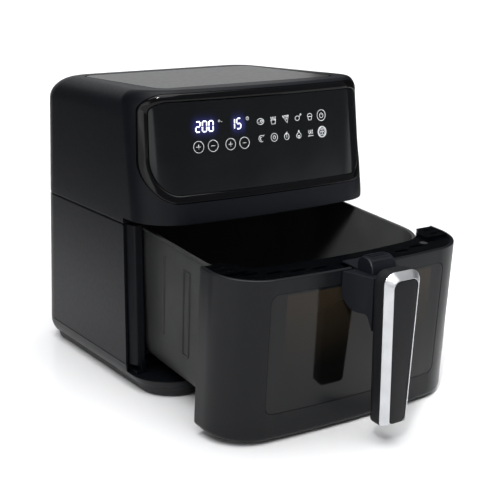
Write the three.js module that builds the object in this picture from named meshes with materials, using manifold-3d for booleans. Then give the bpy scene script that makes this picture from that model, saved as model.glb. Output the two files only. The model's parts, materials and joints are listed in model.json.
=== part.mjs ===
// Air fryer with a pull-out drawer, drawn part-way open. Millimetres, +Z up, the front faces -Y.
// Sizes are written for the closed, level drawer: y = 0 is its front face and z = 0 the table.
import * as THREE from "three";
import { mergeVertices } from "three/addons/utils/BufferGeometryUtils.js";
import Module from "manifold-3d";

const wasm = await Module();
wasm.setup();
const rad = THREE.MathUtils.degToRad;

// ---- driving dimensions -------------------------------------------------------------------
const GAP = 0.35; // clearance left between neighbouring pieces
const HALF_W = 136; // half the body's width at the base
const DEPTH = 272; // front face to back at the base
const HEIGHT = 300;
const FRONT_R = 45; // plan radius of the front corners
const REAR_R = 38;
const BOW = 4; // how far the front face bulges between its corners
const EDGE_R = 27; // rounding from the side and back walls to the top
const FACE_EDGE_R = 13; // the tighter rounding along the top of the face
const SIDE_DRAFT = 0.004; // walls lean in by this much per millimetre of height
const REAR_DRAFT = 0.07;
const FACE_BREAK = 182; // the hood's face starts to lean back here
const FACE_LEAN = Math.tan(rad(7.5));
const TOP_PLATE = { hw: 104, y0: 42, y1: 210, r: 15 };
const ROOF_FALL = 0.024; // how far the roof drops per millimetre behind the front of its plate
const FALL_FROM = 270; // only heights above this take part in that
const WALL = 3;

const SEAM_LOW = 24.6; // base tray to lower housing
const SEAM_HIGH = 169.4; // lower housing to upper housing, along the sides
const HOOD_LIP = 175.5; // lower edge of the hood above the drawer
const SIDE_FRONT = 63; // front edge of the side walls, where the drawer front ends
const SHELF_Z = 16.5; // top of the base under the drawer front
const COLLAR_X = 122; // the collars beside the opening, which enter the drawer front as it closes
const PILLAR_X = 132.6; // outer side of the pillar beside each collar

const DRAWER_TRAVEL = 131;
const DRAWER_TILT = 0.0786; // radians, nose down when the drawer is out
const PIVOT_Y = 85; // axis of the rollers that carry the pan
const PIVOT_Z = 20;
const ROLLER_R = 8.4;

const SHELL_LOW = 20;
const SHELL_TOP = 174;
const PAN_HALF = 117.5;
const PAN_FRONT = 39;
const PAN_REAR = 246;
const PAN_LOW = 29;
const PAN_RIM = 168;
const FAN_Y = 165; // the heater, fan and motor stand on this vertical axis

// ---- materials ----------------------------------------------------------------------------
function material(color, roughness, metalness = 0) {
  return new THREE.MeshStandardMaterial({ color, roughness, metalness });
}
const MATT_BLACK = material(0x222326, 0.55);
const SIDE_GREY = material(0x303134, 0.6);
const GLOSS_BLACK = material(0x0b0b0d, 0.12);
const PAN_COAT = material(0x3a3a3b, 0.5, 0.3);
const SILVER = material(0xc9cacc, 0.3, 0.8);
const STEEL = material(0x9a9ca0, 0.35, 0.9);
const GREY_PLASTIC = material(0xa8a8a6, 0.5);
const RUBBER = material(0x151515, 0.9);
const GLASS = material(0x1c1c1e, 0.08);
const BOARD = material(0x1d4a30, 0.6);
const COPPER = material(0x9a6a3c, 0.5, 0.6);

// ---- solids from three.js geometry --------------------------------------------------------
function toManifold(geometry) {
  const g = geometry.clone();
  g.deleteAttribute("normal");
  g.deleteAttribute("uv");
  const merged = mergeVertices(g, 1e-3);
  return new wasm.Manifold(
    new wasm.Mesh({
      numProp: 3,
      vertProperties: new Float32Array(merged.attributes.position.array),
      triVerts: new Uint32Array(merged.index.array),
    }),
  );
}

function fromManifold(solid) {
  const mesh = solid.getMesh();
  const geometry = new THREE.BufferGeometry();
  geometry.setAttribute("position", new THREE.BufferAttribute(mesh.vertProperties, 3));
  geometry.setIndex(new THREE.BufferAttribute(mesh.triVerts, 1));
  return geometry;
}

function combine(method, first, others) {
  let solid = toManifold(first);
  for (const other of others) solid = solid[method](toManifold(other));
  return fromManifold(solid);
}
const join = (first, ...others) => combine("add", first, others);
const cut = (first, ...others) => combine("subtract", first, others);
const common = (first, ...others) => combine("intersect", first, others);

function box(x0, x1, y0, y1, z0, z1) {
  const g = new THREE.BoxGeometry(x1 - x0, y1 - y0, z1 - z0);
  return g.translate((x0 + x1) / 2, (y0 + y1) / 2, (z0 + z1) / 2);
}

// A cylinder standing on z0 at (x, y).
function post(x, y, z0, z1, r, sides = 16) {
  const g = new THREE.CylinderGeometry(r, r, z1 - z0, sides);
  return g.rotateX(Math.PI / 2).translate(x, y, (z0 + z1) / 2);
}

function rodX(x0, x1, y, z, r, sides = 16) {
  const g = new THREE.CylinderGeometry(r, r, x1 - x0, sides);
  return g.rotateZ(Math.PI / 2).translate((x0 + x1) / 2, y, z);
}

function rodY(x, y0, y1, z, r, sides = 16) {
  return new THREE.CylinderGeometry(r, r, y1 - y0, sides).translate(x, (y0 + y1) / 2, z);
}

// Revolves a closed (radius, z) profile about the vertical through (0, y).
function turned(profile, y, sides = 40) {
  const points = profile.map(([r, z]) => new THREE.Vector2(r, z)).reverse();
  return new THREE.LatheGeometry(points, sides).rotateX(Math.PI / 2).translate(0, y, 0);
}

// A closed plan outline, counter-clockwise from above, with a bulging front and four round corners.
function ring({ hw, hwf = hw, yf, yr, rf = FRONT_R, rr = REAR_R, bow = BOW, z }) {
  const points = [];
  const arc = (cx, cy, r, from, steps) => {
    for (let i = 0; i <= steps; i++) {
      const a = rad(from + (90 * i) / steps);
      points.push(new THREE.Vector3(cx + r * Math.cos(a), cy + r * Math.sin(a), z));
    }
  };
  const flat = hwf - rf;
  for (let i = -2; i <= 2; i++) {
    const x = (flat * i) / 3;
    points.push(new THREE.Vector3(x, yf + bow * (x / flat) ** 2, z));
  }
  arc(flat, yf + bow + rf, rf, -90, 5);
  arc(hw - rr, yr - rr, rr, 0, 4);
  arc(rr - hw, yr - rr, rr, 90, 4);
  arc(-flat, yf + bow + rf, rf, 180, 5);
  return points;
}

// Skins a stack of equal outlines. A closed stack is a tube; an open one gets a cap at each end.
function loft(rings, closed = false) {
  const n = rings[0].length;
  const positions = rings.flat().flatMap((p) => [p.x, p.y, p.z]);
  const index = [];
  const bands = closed ? rings.length : rings.length - 1;
  for (let k = 0; k < bands; k++) {
    const low = k * n;
    const high = ((k + 1) % rings.length) * n;
    for (let i = 0; i < n; i++) {
      const j = (i + 1) % n;
      index.push(low + i, low + j, high + j, low + i, high + j, high + i);
    }
  }
  if (!closed) {
    const last = (rings.length - 1) * n;
    for (const [a, b, c] of THREE.ShapeUtils.triangulateShape(rings[0], [])) index.push(a, c, b);
    for (const [a, b, c] of THREE.ShapeUtils.triangulateShape(rings.at(-1), [])) {
      index.push(last + a, last + b, last + c);
    }
  }
  const geometry = new THREE.BufferGeometry();
  geometry.setAttribute("position", new THREE.Float32BufferAttribute(positions, 3));
  geometry.setIndex(index);
  return geometry;
}

// A rectangle in the X-Z plane with elliptical corners, run along Y.
function facePrism({ hw, z0, z1, low = [8, 8], high = low, y0, y1, steps = 6 }) {
  const outline = [];
  const corner = (cx, cz, [rx, rz], from) => {
    for (let i = 0; i <= steps; i++) {
      const a = rad(from + (90 * i) / steps);
      outline.push(new THREE.Vector2(cx + rx * Math.cos(a), cz + rz * Math.sin(a)));
    }
  };
  corner(hw - low[0], z0 + low[1], low, -90);
  corner(hw - high[0], z1 - high[1], high, 0);
  corner(high[0] - hw, z1 - high[1], high, 90);
  corner(low[0] - hw, z0 + low[1], low, 180);
  const g = new THREE.ExtrudeGeometry(new THREE.Shape(outline), { depth: y1 - y0, bevelEnabled: false });
  return g.rotateX(Math.PI / 2).translate(0, y1, 0);
}

// A rounded rectangle in plan, run along Z.
function planPrism(x0, x1, y0, y1, r, z0, z1) {
  const hw = (x1 - x0) / 2;
  const rings = [z0, z1].map((z) => ring({ hw, yf: y0, yr: y1, rf: r, rr: r, bow: 0, z }));
  return loft(rings).translate((x0 + x1) / 2, 0, 0);
}

// ---- the body's outside -------------------------------------------------------------------
// How far a rounding of radius r, tangent to the top, has drawn the wall in at height z.
function crown(z, r, inset) {
  const over = Math.min(z - (HEIGHT - r), r - inset);
  return over <= 0 ? 0 : (r - inset) * (1 - Math.sqrt(1 - (over / (r - inset)) ** 2));
}

function faceY(z) {
  return Math.max(0, z - FACE_BREAK) * FACE_LEAN;
}

// The body's plan at height z, drawn in by inset.
function bodyRing(z, inset = 0) {
  const side = crown(z, EDGE_R, inset);
  const face = crown(z, FACE_EDGE_R, inset);
  const hw = HALF_W - SIDE_DRAFT * (z - SEAM_LOW) - inset;
  return ring({
    hw: hw - side,
    hwf: hw - face,
    yf: faceY(z) + inset + face * 0.6,
    yr: DEPTH - REAR_DRAFT * (z - SEAM_LOW) - inset - side,
    rf: FRONT_R - inset - face,
    rr: REAR_R - inset - side * 0.6,
    z,
  });
}

// Lets the roof fall slightly towards the back. Heights under FALL_FROM and the face stay as they are.
function fallBack(geometry) {
  const p = geometry.attributes.position;
  for (let i = 0; i < p.count; i++) {
    const share = Math.max(0, (p.getZ(i) - FALL_FROM) / (HEIGHT - FALL_FROM));
    p.setZ(i, p.getZ(i) - share * ROOF_FALL * Math.max(0, p.getY(i) - TOP_PLATE.y0));
  }
  return geometry;
}

// The skin of the body between two heights and two depths below its surface.
function bodyBand(levels, outer, inner) {
  const up = levels.map((z) => bodyRing(z, outer));
  const down = levels.map((z) => bodyRing(z, inner)).reverse();
  return loft([...up, ...down], true);
}

// ---- upper housing ------------------------------------------------------------------------
const PANEL = { hw: 133, z0: 195.5, z1: 297, low: [30, 40], high: [24, 16], y0: -60, y1: 62 };
const PANEL_TAPER = 0.0003; // the panel narrows by this share of its width per millimetre upwards
const PANEL_LEVELS = [180, FACE_BREAK, HEIGHT - EDGE_R, HEIGHT - FACE_EDGE_R, 294, HEIGHT - 1.2];
const VENT = { hw: 60, z0: 198, z1: 262 };

function panelPrism(inset) {
  const shrink = ([rx, rz]) => [rx - inset * 0.8, rz - inset * 0.8];
  const prism = facePrism({
    ...PANEL,
    hw: PANEL.hw - inset,
    z0: PANEL.z0 + inset,
    z1: PANEL.z1 - inset,
    low: shrink(PANEL.low),
    high: shrink(PANEL.high),
  });
  const p = prism.attributes.position;
  for (let i = 0; i < p.count; i++) p.setX(i, p.getX(i) * (1 - PANEL_TAPER * (p.getZ(i) - 205)));
  return prism;
}

function topPlate(inset, z0, z1) {
  const { hw, y0, y1, r } = TOP_PLATE;
  return planPrism(inset - hw, hw - inset, y0 + inset, y1 - inset, r, z0, z1);
}

function upperHousing() {
  const rise = [27, 19, 13, 8, 4, 1.4, 0].map((d) => HEIGHT - d);
  const outside = [SEAM_HIGH + GAP, FACE_BREAK, FALL_FROM, ...rise];
  const inside = [SEAM_HIGH + GAP, FACE_BREAK, FALL_FROM, ...rise.slice(0, 4), HEIGHT - 4];
  const shell = loft([
    ...inside.map((z) => bodyRing(z, WALL)).reverse(),
    ...outside.map((z) => bodyRing(z)),
  ]);
  const housing = cut(
    shell,
    box(-200, 200, -50, SIDE_FRONT, SEAM_HIGH - 5, HOOD_LIP),
    box(WALL - HALF_W, HALF_W - WALL, 0, 78, SEAM_HIGH - 5, HOOD_LIP),
    common(bodyBand(PANEL_LEVELS, -3, 2), panelPrism(-GAP)),
    box(-88, 88, -20, 70, 212, 282),
    topPlate(-1.5, HEIGHT - 2.2, HEIGHT + 5),
    topPlate(8, HEIGHT - 12, HEIGHT + 5),
    box(-VENT.hw, VENT.hw, 220, 290, VENT.z0, VENT.z1),
  );
  return fallBack(housing);
}

function panelSkin() {
  return bodyBand(PANEL_LEVELS, 0, 1.6);
}

function panelBezel() {
  return cut(common(panelSkin(), panelPrism(0)), panelPrism(7.5));
}

function controlPanel() {
  return common(panelSkin(), panelPrism(7.5 + GAP));
}

function displayBoard() {
  const leds = [-66, -38, 0, 22, 44, 66].map((x) => box(x - 5, x + 5, -4.2, -1.4, -6, 6));
  const posts = [-80, 80].flatMap((x) => [-26, 26].map((z) => rodY(x, -1.5, 3, z, 3, 10)));
  const board = join(box(-85, 85, -1.6, 0, -31, 31), ...leds, ...posts);
  return board.rotateX(-Math.atan(FACE_LEAN)).translate(0, faceY(247) + 11, 247);
}

function rearVentGrille() {
  const plate = common(
    bodyBand([190, 270], 0.2, 2.4),
    box(GAP - VENT.hw, VENT.hw - GAP, 220, 290, VENT.z0 + GAP, VENT.z1 - GAP),
  );
  const slots = [0, 1, 2, 3, 4, 5, 6].map((i) => box(-50, 50, 200, 300, 204 + i * 8, 208 + i * 8));
  return cut(plate, ...slots);
}

function hoodUnderside() {
  const plate = loft([bodyRing(HOOD_LIP + 0.2, WALL + GAP), bodyRing(HOOD_LIP + 2.2, WALL + GAP)]);
  return common(plate, box(-200, 200, -10, 76, 170, 180));
}

// ---- lower housing and base ---------------------------------------------------------------
const GLAND = { x: 82, z: 48 };

function lowerHousing() {
  return cut(
    bodyBand([SEAM_LOW + GAP, SEAM_HIGH], 0, 2.5),
    box(-200, 200, -50, SIDE_FRONT, 0, 200),
    rodY(GLAND.x, 240, 290, GLAND.z, 8 + GAP),
  );
}

// The black frame round the drawer's opening, with the shelf under the drawer front and a collar
// with its pillar at each side, which stand between the pan and the walls of the drawer front.
function frontFrame() {
  const shelf = common(
    loft([SHELF_Z - 1.8, SHELF_Z].map((z) => baseRing(z, 2.2, 6.5))),
    box(-200, 200, 0, 76, 0, 30),
  );
  const collars = [-COLLAR_X, COLLAR_X].map((x) => box(x - 2.2, x + 2.2, 52, 70, SHELF_Z - 0.5, 169));
  const pillars = [-1, 1].map((side) => {
    const corners = [
      [PILLAR_X, 70],
      [PILLAR_X, 64],
      [PILLAR_X - 1, 61],
      [PILLAR_X - 4.4, 53.4],
      [COLLAR_X, 52],
      [COLLAR_X, 70],
    ];
    const plan = new THREE.Shape(corners.map(([x, y]) => new THREE.Vector2(side * x, y)));
    return new THREE.ExtrudeGeometry(plan, { depth: 145, bevelEnabled: false }).translate(0, 0, 24);
  });
  const blocks = [-127, 127].map((x) => box(x - 3.5, x + 3.5, 51, 70, SHELF_Z - 0.5, 19.2));
  const plate = box(-PILLAR_X, PILLAR_X, SIDE_FRONT + 1, 76, SHELF_Z - 1.8, 175);
  return cut(
    join(plate, shelf, ...collars, ...pillars, ...blocks),
    box(-119.8, 119.8, 40, 90, 24.2, 169.5),
    box(-119.8, 119.8, 40, 63.5, SHELF_Z, 30),
    ...[-88, 88].map((x) => box(x - 6.4, x + 6.4, 60, 80, 20, 30)),
  );
}

function glidePad(x) {
  return box(x - 6, x + 6, SIDE_FRONT + 0.4, 75.6, 20.3, 25.6);
}

// Front left, front right, rear left, rear right.
const FEET = [[-96, 44], [96, 44], [-104, 214], [104, 214]];

function baseRing(z, inset, front) {
  return ring({
    hw: HALF_W - inset,
    yf: front,
    yr: DEPTH - inset,
    rf: FRONT_R - inset,
    rr: REAR_R - inset,
    z,
  });
}

function baseTray() {
  const outside = loft([
    baseRing(2, 8.5, 6),
    baseRing(9.3, 6.5, 5),
    baseRing(10.2, 4, 4),
    baseRing(16, 1, 4),
    baseRing(19, 0, 4),
    baseRing(SEAM_LOW, 0, 4),
  ]);
  const seats = [-88, 88].flatMap((x) => [
    box(x - 16, x - 9.4, PIVOT_Y - 6, PIVOT_Y + 6, 6, 21),
    box(x + 9.4, x + 16, PIVOT_Y - 6, PIVOT_Y + 6, 6, 21),
  ]);
  const tray = cut(
    outside,
    box(-200, 200, -50, SIDE_FRONT, SHELF_Z, 40),
    common(loft([SHELF_Z - 2.2, 40].map((z) => baseRing(z, 1.8, 6.1))), box(-200, 200, 0, 76.3, 0, 50)),
    planPrism(-130, 130, 76.3, 264, 30, 7, 40),
    planPrism(-70, 70, 22, 72, 8, 0, 12),
    ...FEET.map(([x, y]) => post(x, y, 0, 5.4, 10 + GAP)),
  );
  return cut(join(tray, ...seats), ...[-88, 88].map((x) => rodX(x - 20, x + 20, PIVOT_Y, PIVOT_Z, 3.3)));
}

function foot([x, y]) {
  return post(x, y, 0, 5, 10);
}

function rollerAxle(x) {
  return rodX(x - 15, x + 15, PIVOT_Y, PIVOT_Z, 2.9, 16);
}

function glideRoller(x) {
  const wheel = rodX(x - 7.5, x + 7.5, PIVOT_Y, PIVOT_Z, ROLLER_R, 20);
  return cut(wheel, rodX(x - 20, x + 20, PIVOT_Y, PIVOT_Z, 3.25, 16));
}

function heatShield() {
  return box(-108, 108, 108, 246, 7.4, 8.6);
}

function cordGland() {
  const body = join(
    rodY(GLAND.x, 262, 274, GLAND.z, 8),
    rodY(GLAND.x, 271.4, 274, GLAND.z, 11),
    rodY(GLAND.x, 262, 265, GLAND.z, 11),
  );
  return cut(body, rodY(GLAND.x, 250, 280, GLAND.z, 3.4, 16));
}

// ---- cooking chamber, heater and fan --------------------------------------------------------
// The chamber's sheets: outlines of the wall's outside and of the room inside it.
const LINER_PLAN = { hw: 124, yf: 77, yr: 252, rf: 2, rr: 30, bow: 0 };
const LINER_ROOM = { hw: 122.5, yf: 70, yr: 250.5, rf: 2, rr: 28.5, bow: 0 };
const LINER = { low: 25, high: 174.2, sheet: 1.2 };

function linerSheet(z0, z1) {
  return loft([z0, z1].map((z) => ring({ ...LINER_PLAN, z })));
}

function linerWall() {
  const low = LINER.low + LINER.sheet + GAP;
  const high = LINER.high - LINER.sheet - GAP;
  return cut(linerSheet(low, high), loft([low - 5, high + 5].map((z) => ring({ ...LINER_ROOM, z }))));
}

function linerRoof() {
  return cut(linerSheet(LINER.high - LINER.sheet, LINER.high), post(0, FAN_Y, 160, 180, 80, 28));
}

function linerFloor() {
  const wells = [-88, 88].map((x) => box(x - 17, x + 17, 70, 98, 20, 30));
  return cut(linerSheet(LINER.low, LINER.low + LINER.sheet), ...wells);
}

function heaterShroud() {
  const bowl = turned(
    [
      [7, 222.4],
      [74, 222.4],
      [82.5, 213],
      [82.5, 176],
      [86, 176],
      [86, 174.6],
      [81, 174.6],
      [81, 212.4],
      [73, 221],
      [7, 221],
      [7, 222.4],
    ],
    FAN_Y,
    28,
  );
  return cut(
    bowl,
    ...[-14, 14].map((x) => post(x, FAN_Y + 60, 200, 240, 5, 10)),
    post(48, FAN_Y + 48, 200, 240, 3, 10),
  );
}

function heaterGuard() {
  const hoop = (r, width, sides) =>
    cut(post(0, FAN_Y, 174.8, 176.4, r, sides), post(0, FAN_Y, 170, 180, r - width, sides));
  const spokes = [0, 1, 2, 3].map((i) =>
    box(-78, 78, -1.3, 1.3, 174.8, 176.4).rotateZ(rad(45 * i)).translate(0, FAN_Y, 0),
  );
  return join(hoop(80.4, 4, 28), hoop(46, 3, 20), post(0, FAN_Y, 174.8, 176.4, 9, 12), ...spokes);
}

function heatingElement() {
  const radius = 62;
  const points = [new THREE.Vector3(-14, FAN_Y + 60, 234), new THREE.Vector3(-14, FAN_Y + 60, 200)];
  for (let i = 0; i <= 24; i++) {
    const a = rad(102 + (336 * i) / 24);
    points.push(new THREE.Vector3(radius * Math.cos(a), FAN_Y + radius * Math.sin(a), 188));
  }
  points.push(new THREE.Vector3(14, FAN_Y + 60, 200), new THREE.Vector3(14, FAN_Y + 60, 234));
  const tube = new THREE.Shape();
  tube.absarc(0, 0, 3.4, 0, Math.PI * 2);
  return new THREE.ExtrudeGeometry(tube, {
    steps: 44,
    curveSegments: 3,
    bevelEnabled: false,
    extrudePath: new THREE.CatmullRomCurve3(points, false, "catmullrom", 0.35),
  });
}

function upperChassis() {
  const plate = loft([224, 226].map((z) => ring({ hw: 128, yf: 50, yr: 250, rf: 10, rr: 30, bow: 0, z })));
  const legs = [-112, 112].flatMap((x) => [90, 238].map((y) => post(x, y, 174.6, 224.5, 4, 12)));
  return cut(
    join(plate, ...legs),
    post(0, FAN_Y, 220, 230, 12),
    ...[-14, 14].map((x) => post(x, FAN_Y + 60, 220, 230, 6, 10)),
    post(48, FAN_Y + 48, 220, 230, 3.4, 10),
  );
}

function motorBracket() {
  const plate = cut(post(0, FAN_Y, 229.4, 231.4, 36), post(0, FAN_Y, 220, 240, 9));
  const legs = [45, 135, 225, 315].map((a) =>
    post(31 * Math.cos(rad(a)), FAN_Y + 31 * Math.sin(rad(a)), 226.3, 230, 3, 10),
  );
  return join(plate, ...legs);
}

function fanMotor() {
  return turned(
    [
      [5, 231.8],
      [5, 261],
      [24, 261],
      [30, 257],
      [30, 236],
      [24, 231.8],
      [5, 231.8],
    ],
    FAN_Y,
    24,
  );
}

function motorShaft() {
  return post(0, FAN_Y, 197, 283, 4, 12);
}

function bladeWheel({ hub, tip, z0, z1, count, disc, pitch }) {
  const core = cut(post(0, 0, z0, z1, hub, 16), post(0, 0, z0 - 5, z1 + 5, 4.3, 12));
  const blades = [];
  for (let i = 0; i < count; i++) {
    const blade = box(-0.8, 0.8, hub - 2, tip, z0 - (z0 + z1) / 2 + 1, z1 - (z0 + z1) / 2 - 1);
    blade.rotateY(rad(pitch)).translate(0, 0, (z0 + z1) / 2);
    blades.push(blade.rotateZ((2 * Math.PI * i) / count));
  }
  const wheel = disc
    ? join(core, ...blades, cut(post(0, 0, z1 - 1.8, z1 - 0.4, tip - 2, 24), post(0, 0, z0, z1 + 1, 6, 16)))
    : join(core, ...blades);
  return wheel.translate(0, FAN_Y, 0);
}

function powerBoard() {
  const legs = [58, 106].flatMap((x) => [116, 200].map((y) => post(x, y, 226.3, 232, 2.5, 8)));
  return join(
    box(52, 112, 110, 206, 231, 232.6),
    box(60, 82, 120, 148, 232, 252),
    box(88, 106, 122, 138, 232, 246),
    post(70, 168, 232, 254, 8, 16),
    post(92, 160, 232, 250, 6, 16),
    box(60, 104, 186, 194, 232, 243),
    ...legs,
  );
}

function temperatureSensor() {
  return join(post(48, FAN_Y + 48, 196, 236, 2.2, 10), post(48, FAN_Y + 48, 226.3, 229, 6, 12));
}

// ---- drawer --------------------------------------------------------------------------------
const WINDOW = { hw: 99, z0: 46, z1: 160.3, low: [8, 8], y0: -20, y1: 28 };

function windowPrism(inset) {
  return facePrism({ ...WINDOW, hw: WINDOW.hw - inset, z0: WINDOW.z0 + inset, z1: WINDOW.z1 - inset });
}

function drawerFront() {
  const shell = loft([
    bodyRing(SHELL_LOW, 3.5),
    bodyRing(SHELL_LOW + 1.5, 1.2),
    bodyRing(SHELL_LOW + 4.5, 0),
    bodyRing(SHELL_TOP - 1.2, 0),
    bodyRing(SHELL_TOP, 1.2),
    bodyRing(SHELL_TOP, WALL),
    bodyRing(SHELL_LOW + 3, WALL),
  ]);
  return cut(
    shell,
    box(-200, 200, SIDE_FRONT - 0.5, 400, 0, 200),
    windowPrism(0),
    box(-16.5, 16.5, -20, 20, 163, 180),
    ...[-COLLAR_X, COLLAR_X].map((x) => box(x - 3.6, x + 3.6, 50, 70, 10, 30)),
  );
}

function windowGlass() {
  return common(bodyBand([30, 172], 0.3, 2.8), windowPrism(GAP));
}

function windowSeal() {
  const band = bodyBand([30, 172], WALL + 0.3, WALL + 2.5);
  return cut(common(band, windowPrism(-3)), windowPrism(3));
}

function panRing(z, inset = 0) {
  const half = PAN_HALF - 0.018 * (PAN_RIM - z);
  return ring({
    hw: half - inset,
    yf: PAN_FRONT + inset + 0.018 * (PAN_RIM - z),
    yr: PAN_REAR - inset - 0.018 * (PAN_RIM - z),
    rf: 42 - inset,
    rr: 34 - inset,
    z,
  });
}

const PAN_PANE = { hw: 74, z0: 62, z1: 150, low: [6, 6], y0: 30, y1: 62 };

function panePrism(inset) {
  return facePrism({ ...PAN_PANE, hw: PAN_PANE.hw - inset, z0: PAN_PANE.z0 + inset, z1: PAN_PANE.z1 - inset });
}

function pan() {
  const bowl = loft([
    panRing(PAN_LOW, 14),
    panRing(PAN_LOW + 3, 8),
    panRing(PAN_LOW + 9, 3),
    panRing(PAN_LOW + 22, 0),
    panRing(PAN_RIM - 3, 0),
    panRing(PAN_RIM - 2.4, -2),
    panRing(PAN_RIM, -2),
    panRing(PAN_RIM, 1.6),
    panRing(PAN_LOW + 23, 1.6),
    panRing(PAN_LOW + 10, 4.6),
    panRing(PAN_LOW + 4.4, 9.4),
    panRing(PAN_LOW + 1.6, 15),
  ]);
  return cut(bowl, panePrism(0));
}

function panWindow() {
  return common(
    loft([...[55, 155].map((z) => panRing(z, 0.1)), ...[155, 55].map((z) => panRing(z, 1.5))], true),
    panePrism(GAP),
  );
}

const LEDGE = { low: 166.2, high: 171.6, block: 173.8 };
const MAGNET = { x: 96, y: 31, r: 4 };

function drawerTrim() {
  const level = (z0, z1) => loft([z0, z1].map((z) => bodyRing(z, WALL + GAP)));
  const slots = [-104, -82, -60, -38, 38, 60, 82, 104].map((x) => {
    const y = 14 + (x / 26) ** 2;
    return box(x - 8, x + 8, y, y + 4, 160, 172);
  });
  const corners = [-118, 118].map((x) =>
    common(level(LEDGE.high - 1, LEDGE.block), box(x - 14, x + 14, 36, SIDE_FRONT - 1.2, 160, 180)),
  );
  const dips = [-122, 122].flatMap((x) => [41, 51].map((y) => box(x - 6, x + 6, y, y + 4.5, 172, 180)));
  return cut(
    join(common(level(LEDGE.low, LEDGE.high), box(-200, 200, -10, SIDE_FRONT - 1.2, 150, 175)), ...corners),
    loft([panRing(160, -2.6), panRing(175, -2.6)]),
    box(-16.5, 16.5, -10, 20, 150, 180),
    ...[-126, 126].map((x) => box(x - 9, x + 9, 50.5, 70, 150, 169.8)),
    post(MAGNET.x, MAGNET.y, LEDGE.low + 0.9, 180, MAGNET.r + GAP, 20),
    ...slots,
    ...dips,
  );
}

function drawerMagnet() {
  return post(MAGNET.x, MAGNET.y, LEDGE.low + 1.2, LEDGE.high - 0.3, MAGNET.r, 16);
}

// The handle's neck: wide at the drawer, narrower at the grip, with a rounded belly and a web that
// runs out behind the grip.
function handleBracket() {
  const side = new THREE.Shape();
  const profile = [
    [-0.4, 173],
    [-31.6, 175],
    [-33, 174],
    [-34.9, 127],
    [-31.4, 134],
    [-28.4, 140.4],
    [-24, 139.8],
    [-17, 139],
    [-12, 140.4],
    [-5, 146],
    [-0.4, 153],
  ];
  profile.forEach(([y, z], i) => (i ? side.lineTo(y, z) : side.moveTo(y, z)));
  side.closePath();
  const slab = new THREE.ExtrudeGeometry(side, { depth: 60, bevelEnabled: false });
  slab.rotateX(Math.PI / 2).rotateZ(Math.PI / 2).translate(-30, 0, 0);
  const flare = new THREE.Shape();
  const corners = [
    [-28.6, 5],
    [-28, -2],
    [-18.8, -34],
    [-18.8, -40],
    [18.8, -40],
    [18.8, -34],
    [28, -2],
    [28.6, 5],
  ];
  corners.forEach(([x, y], i) => (i ? flare.lineTo(x, y) : flare.moveTo(x, y)));
  flare.closePath();
  const plan = new THREE.ExtrudeGeometry(flare, { depth: 60, bevelEnabled: false }).translate(0, 0, 120);
  return cut(
    join(common(slab, plan), box(-16, 16, -3, 18.5, 163.4, 167.5)),
    box(-14.6, 14.6, -26, -2.2, 161.5, 180),
    box(-14.6, 14.6, -3, 1, 169.6, 180),
    post(0, -14, 152, 165, 6, 16),
  );
}

const GRIP = { z0: 41, z1: 184 };
const HANDLE_LEAN = rad(2.3);

// The handle's front outline at depth y, drawn in by inset, narrower at its lower end.
function gripRing(y, inset) {
  const points = [];
  const top = GRIP.z1 - inset;
  const low = GRIP.z0 + inset * 0.4;
  const halfTop = 20 - inset;
  const halfLow = 15.5 - inset;
  const r = 11 - inset * 0.6;
  const rl = 4;
  points.push([-halfLow + rl, low], [halfLow - rl, low], [halfLow, low + rl]);
  for (let i = 0; i <= 6; i++) {
    const a = rad(15 * i);
    points.push([halfTop - r + r * Math.cos(a), top - r + r * Math.sin(a)]);
  }
  for (let i = 0; i <= 6; i++) {
    const a = rad(90 + 15 * i);
    points.push([r - halfTop + r * Math.cos(a), top - r + r * Math.sin(a)]);
  }
  points.push([-halfLow, low + rl]);
  return points.map(([x, z]) => new THREE.Vector3(x, y, z));
}

// Sections run from the back of the handle to its front.
function gripLoft(sections) {
  const rings = sections.map(([y, inset]) => gripRing(y, inset).map((p) => new THREE.Vector3(p.x, p.z, -p.y)));
  return loft(rings).rotateX(Math.PI / 2);
}

// The handle leans away from the drawer towards its lower end.
function leaned(geometry) {
  return geometry
    .translate(0, 45, -170)
    .rotateX(-HANDLE_LEAN)
    .translate(0, -47.2, 170);
}

function handleGrip() {
  return gripLoft([
    [-31.4, 1.6],
    [-33, 0.4],
    [-35.6, 0],
    [-44.4, 0],
  ]);
}

function handleTrim() {
  const bevel = gripLoft([
    [-44.8, 0],
    [-45.6, 0],
    [-51.4, 6.2],
  ]);
  return cut(
    bevel,
    gripLoft([
      [-40, 6.4],
      [-60, 6.4],
    ]),
    box(-8.9, 8.9, -60, -40, 30, 60),
  );
}

function handleInsert() {
  return gripLoft([
    [-44.8, 6.8],
    [-50.6, 6.8],
    [-51, 7.4],
  ]);
}

// Ribbed thumb button: a hump in front of the hood's face, with a low lid behind it that covers the
// bracket's screws and passes under the hood.
function releaseButton() {
  const side = new THREE.Shape();
  const profile = [
    [-2.8, 165.5],
    [-2.8, 173],
    [17.5, 173],
    [17.5, 174.2],
    [16.8, 174.8],
    [-2, 174.8],
    [-2.8, 176.4],
    [-2.8, 181],
    [-6, 185],
    [-12, 187.5],
    [-19, 186],
    [-25, 179],
    [-25.4, 165.5],
  ];
  profile.forEach(([y, z], i) => (i ? side.lineTo(y, z) : side.moveTo(y, z)));
  side.closePath();
  const hump = new THREE.ExtrudeGeometry(side, { depth: 28, bevelEnabled: false });
  hump.rotateX(Math.PI / 2).rotateZ(Math.PI / 2).translate(-14, 0, 0);
  const ribs = [-18, -14.5, -11, -7.5].map((y) => box(-10, 10, y, y + 1.4, 180, 188.4));
  return cut(join(hump, ...ribs), box(-12, 12, -23, -5, 160, 170));
}

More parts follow.
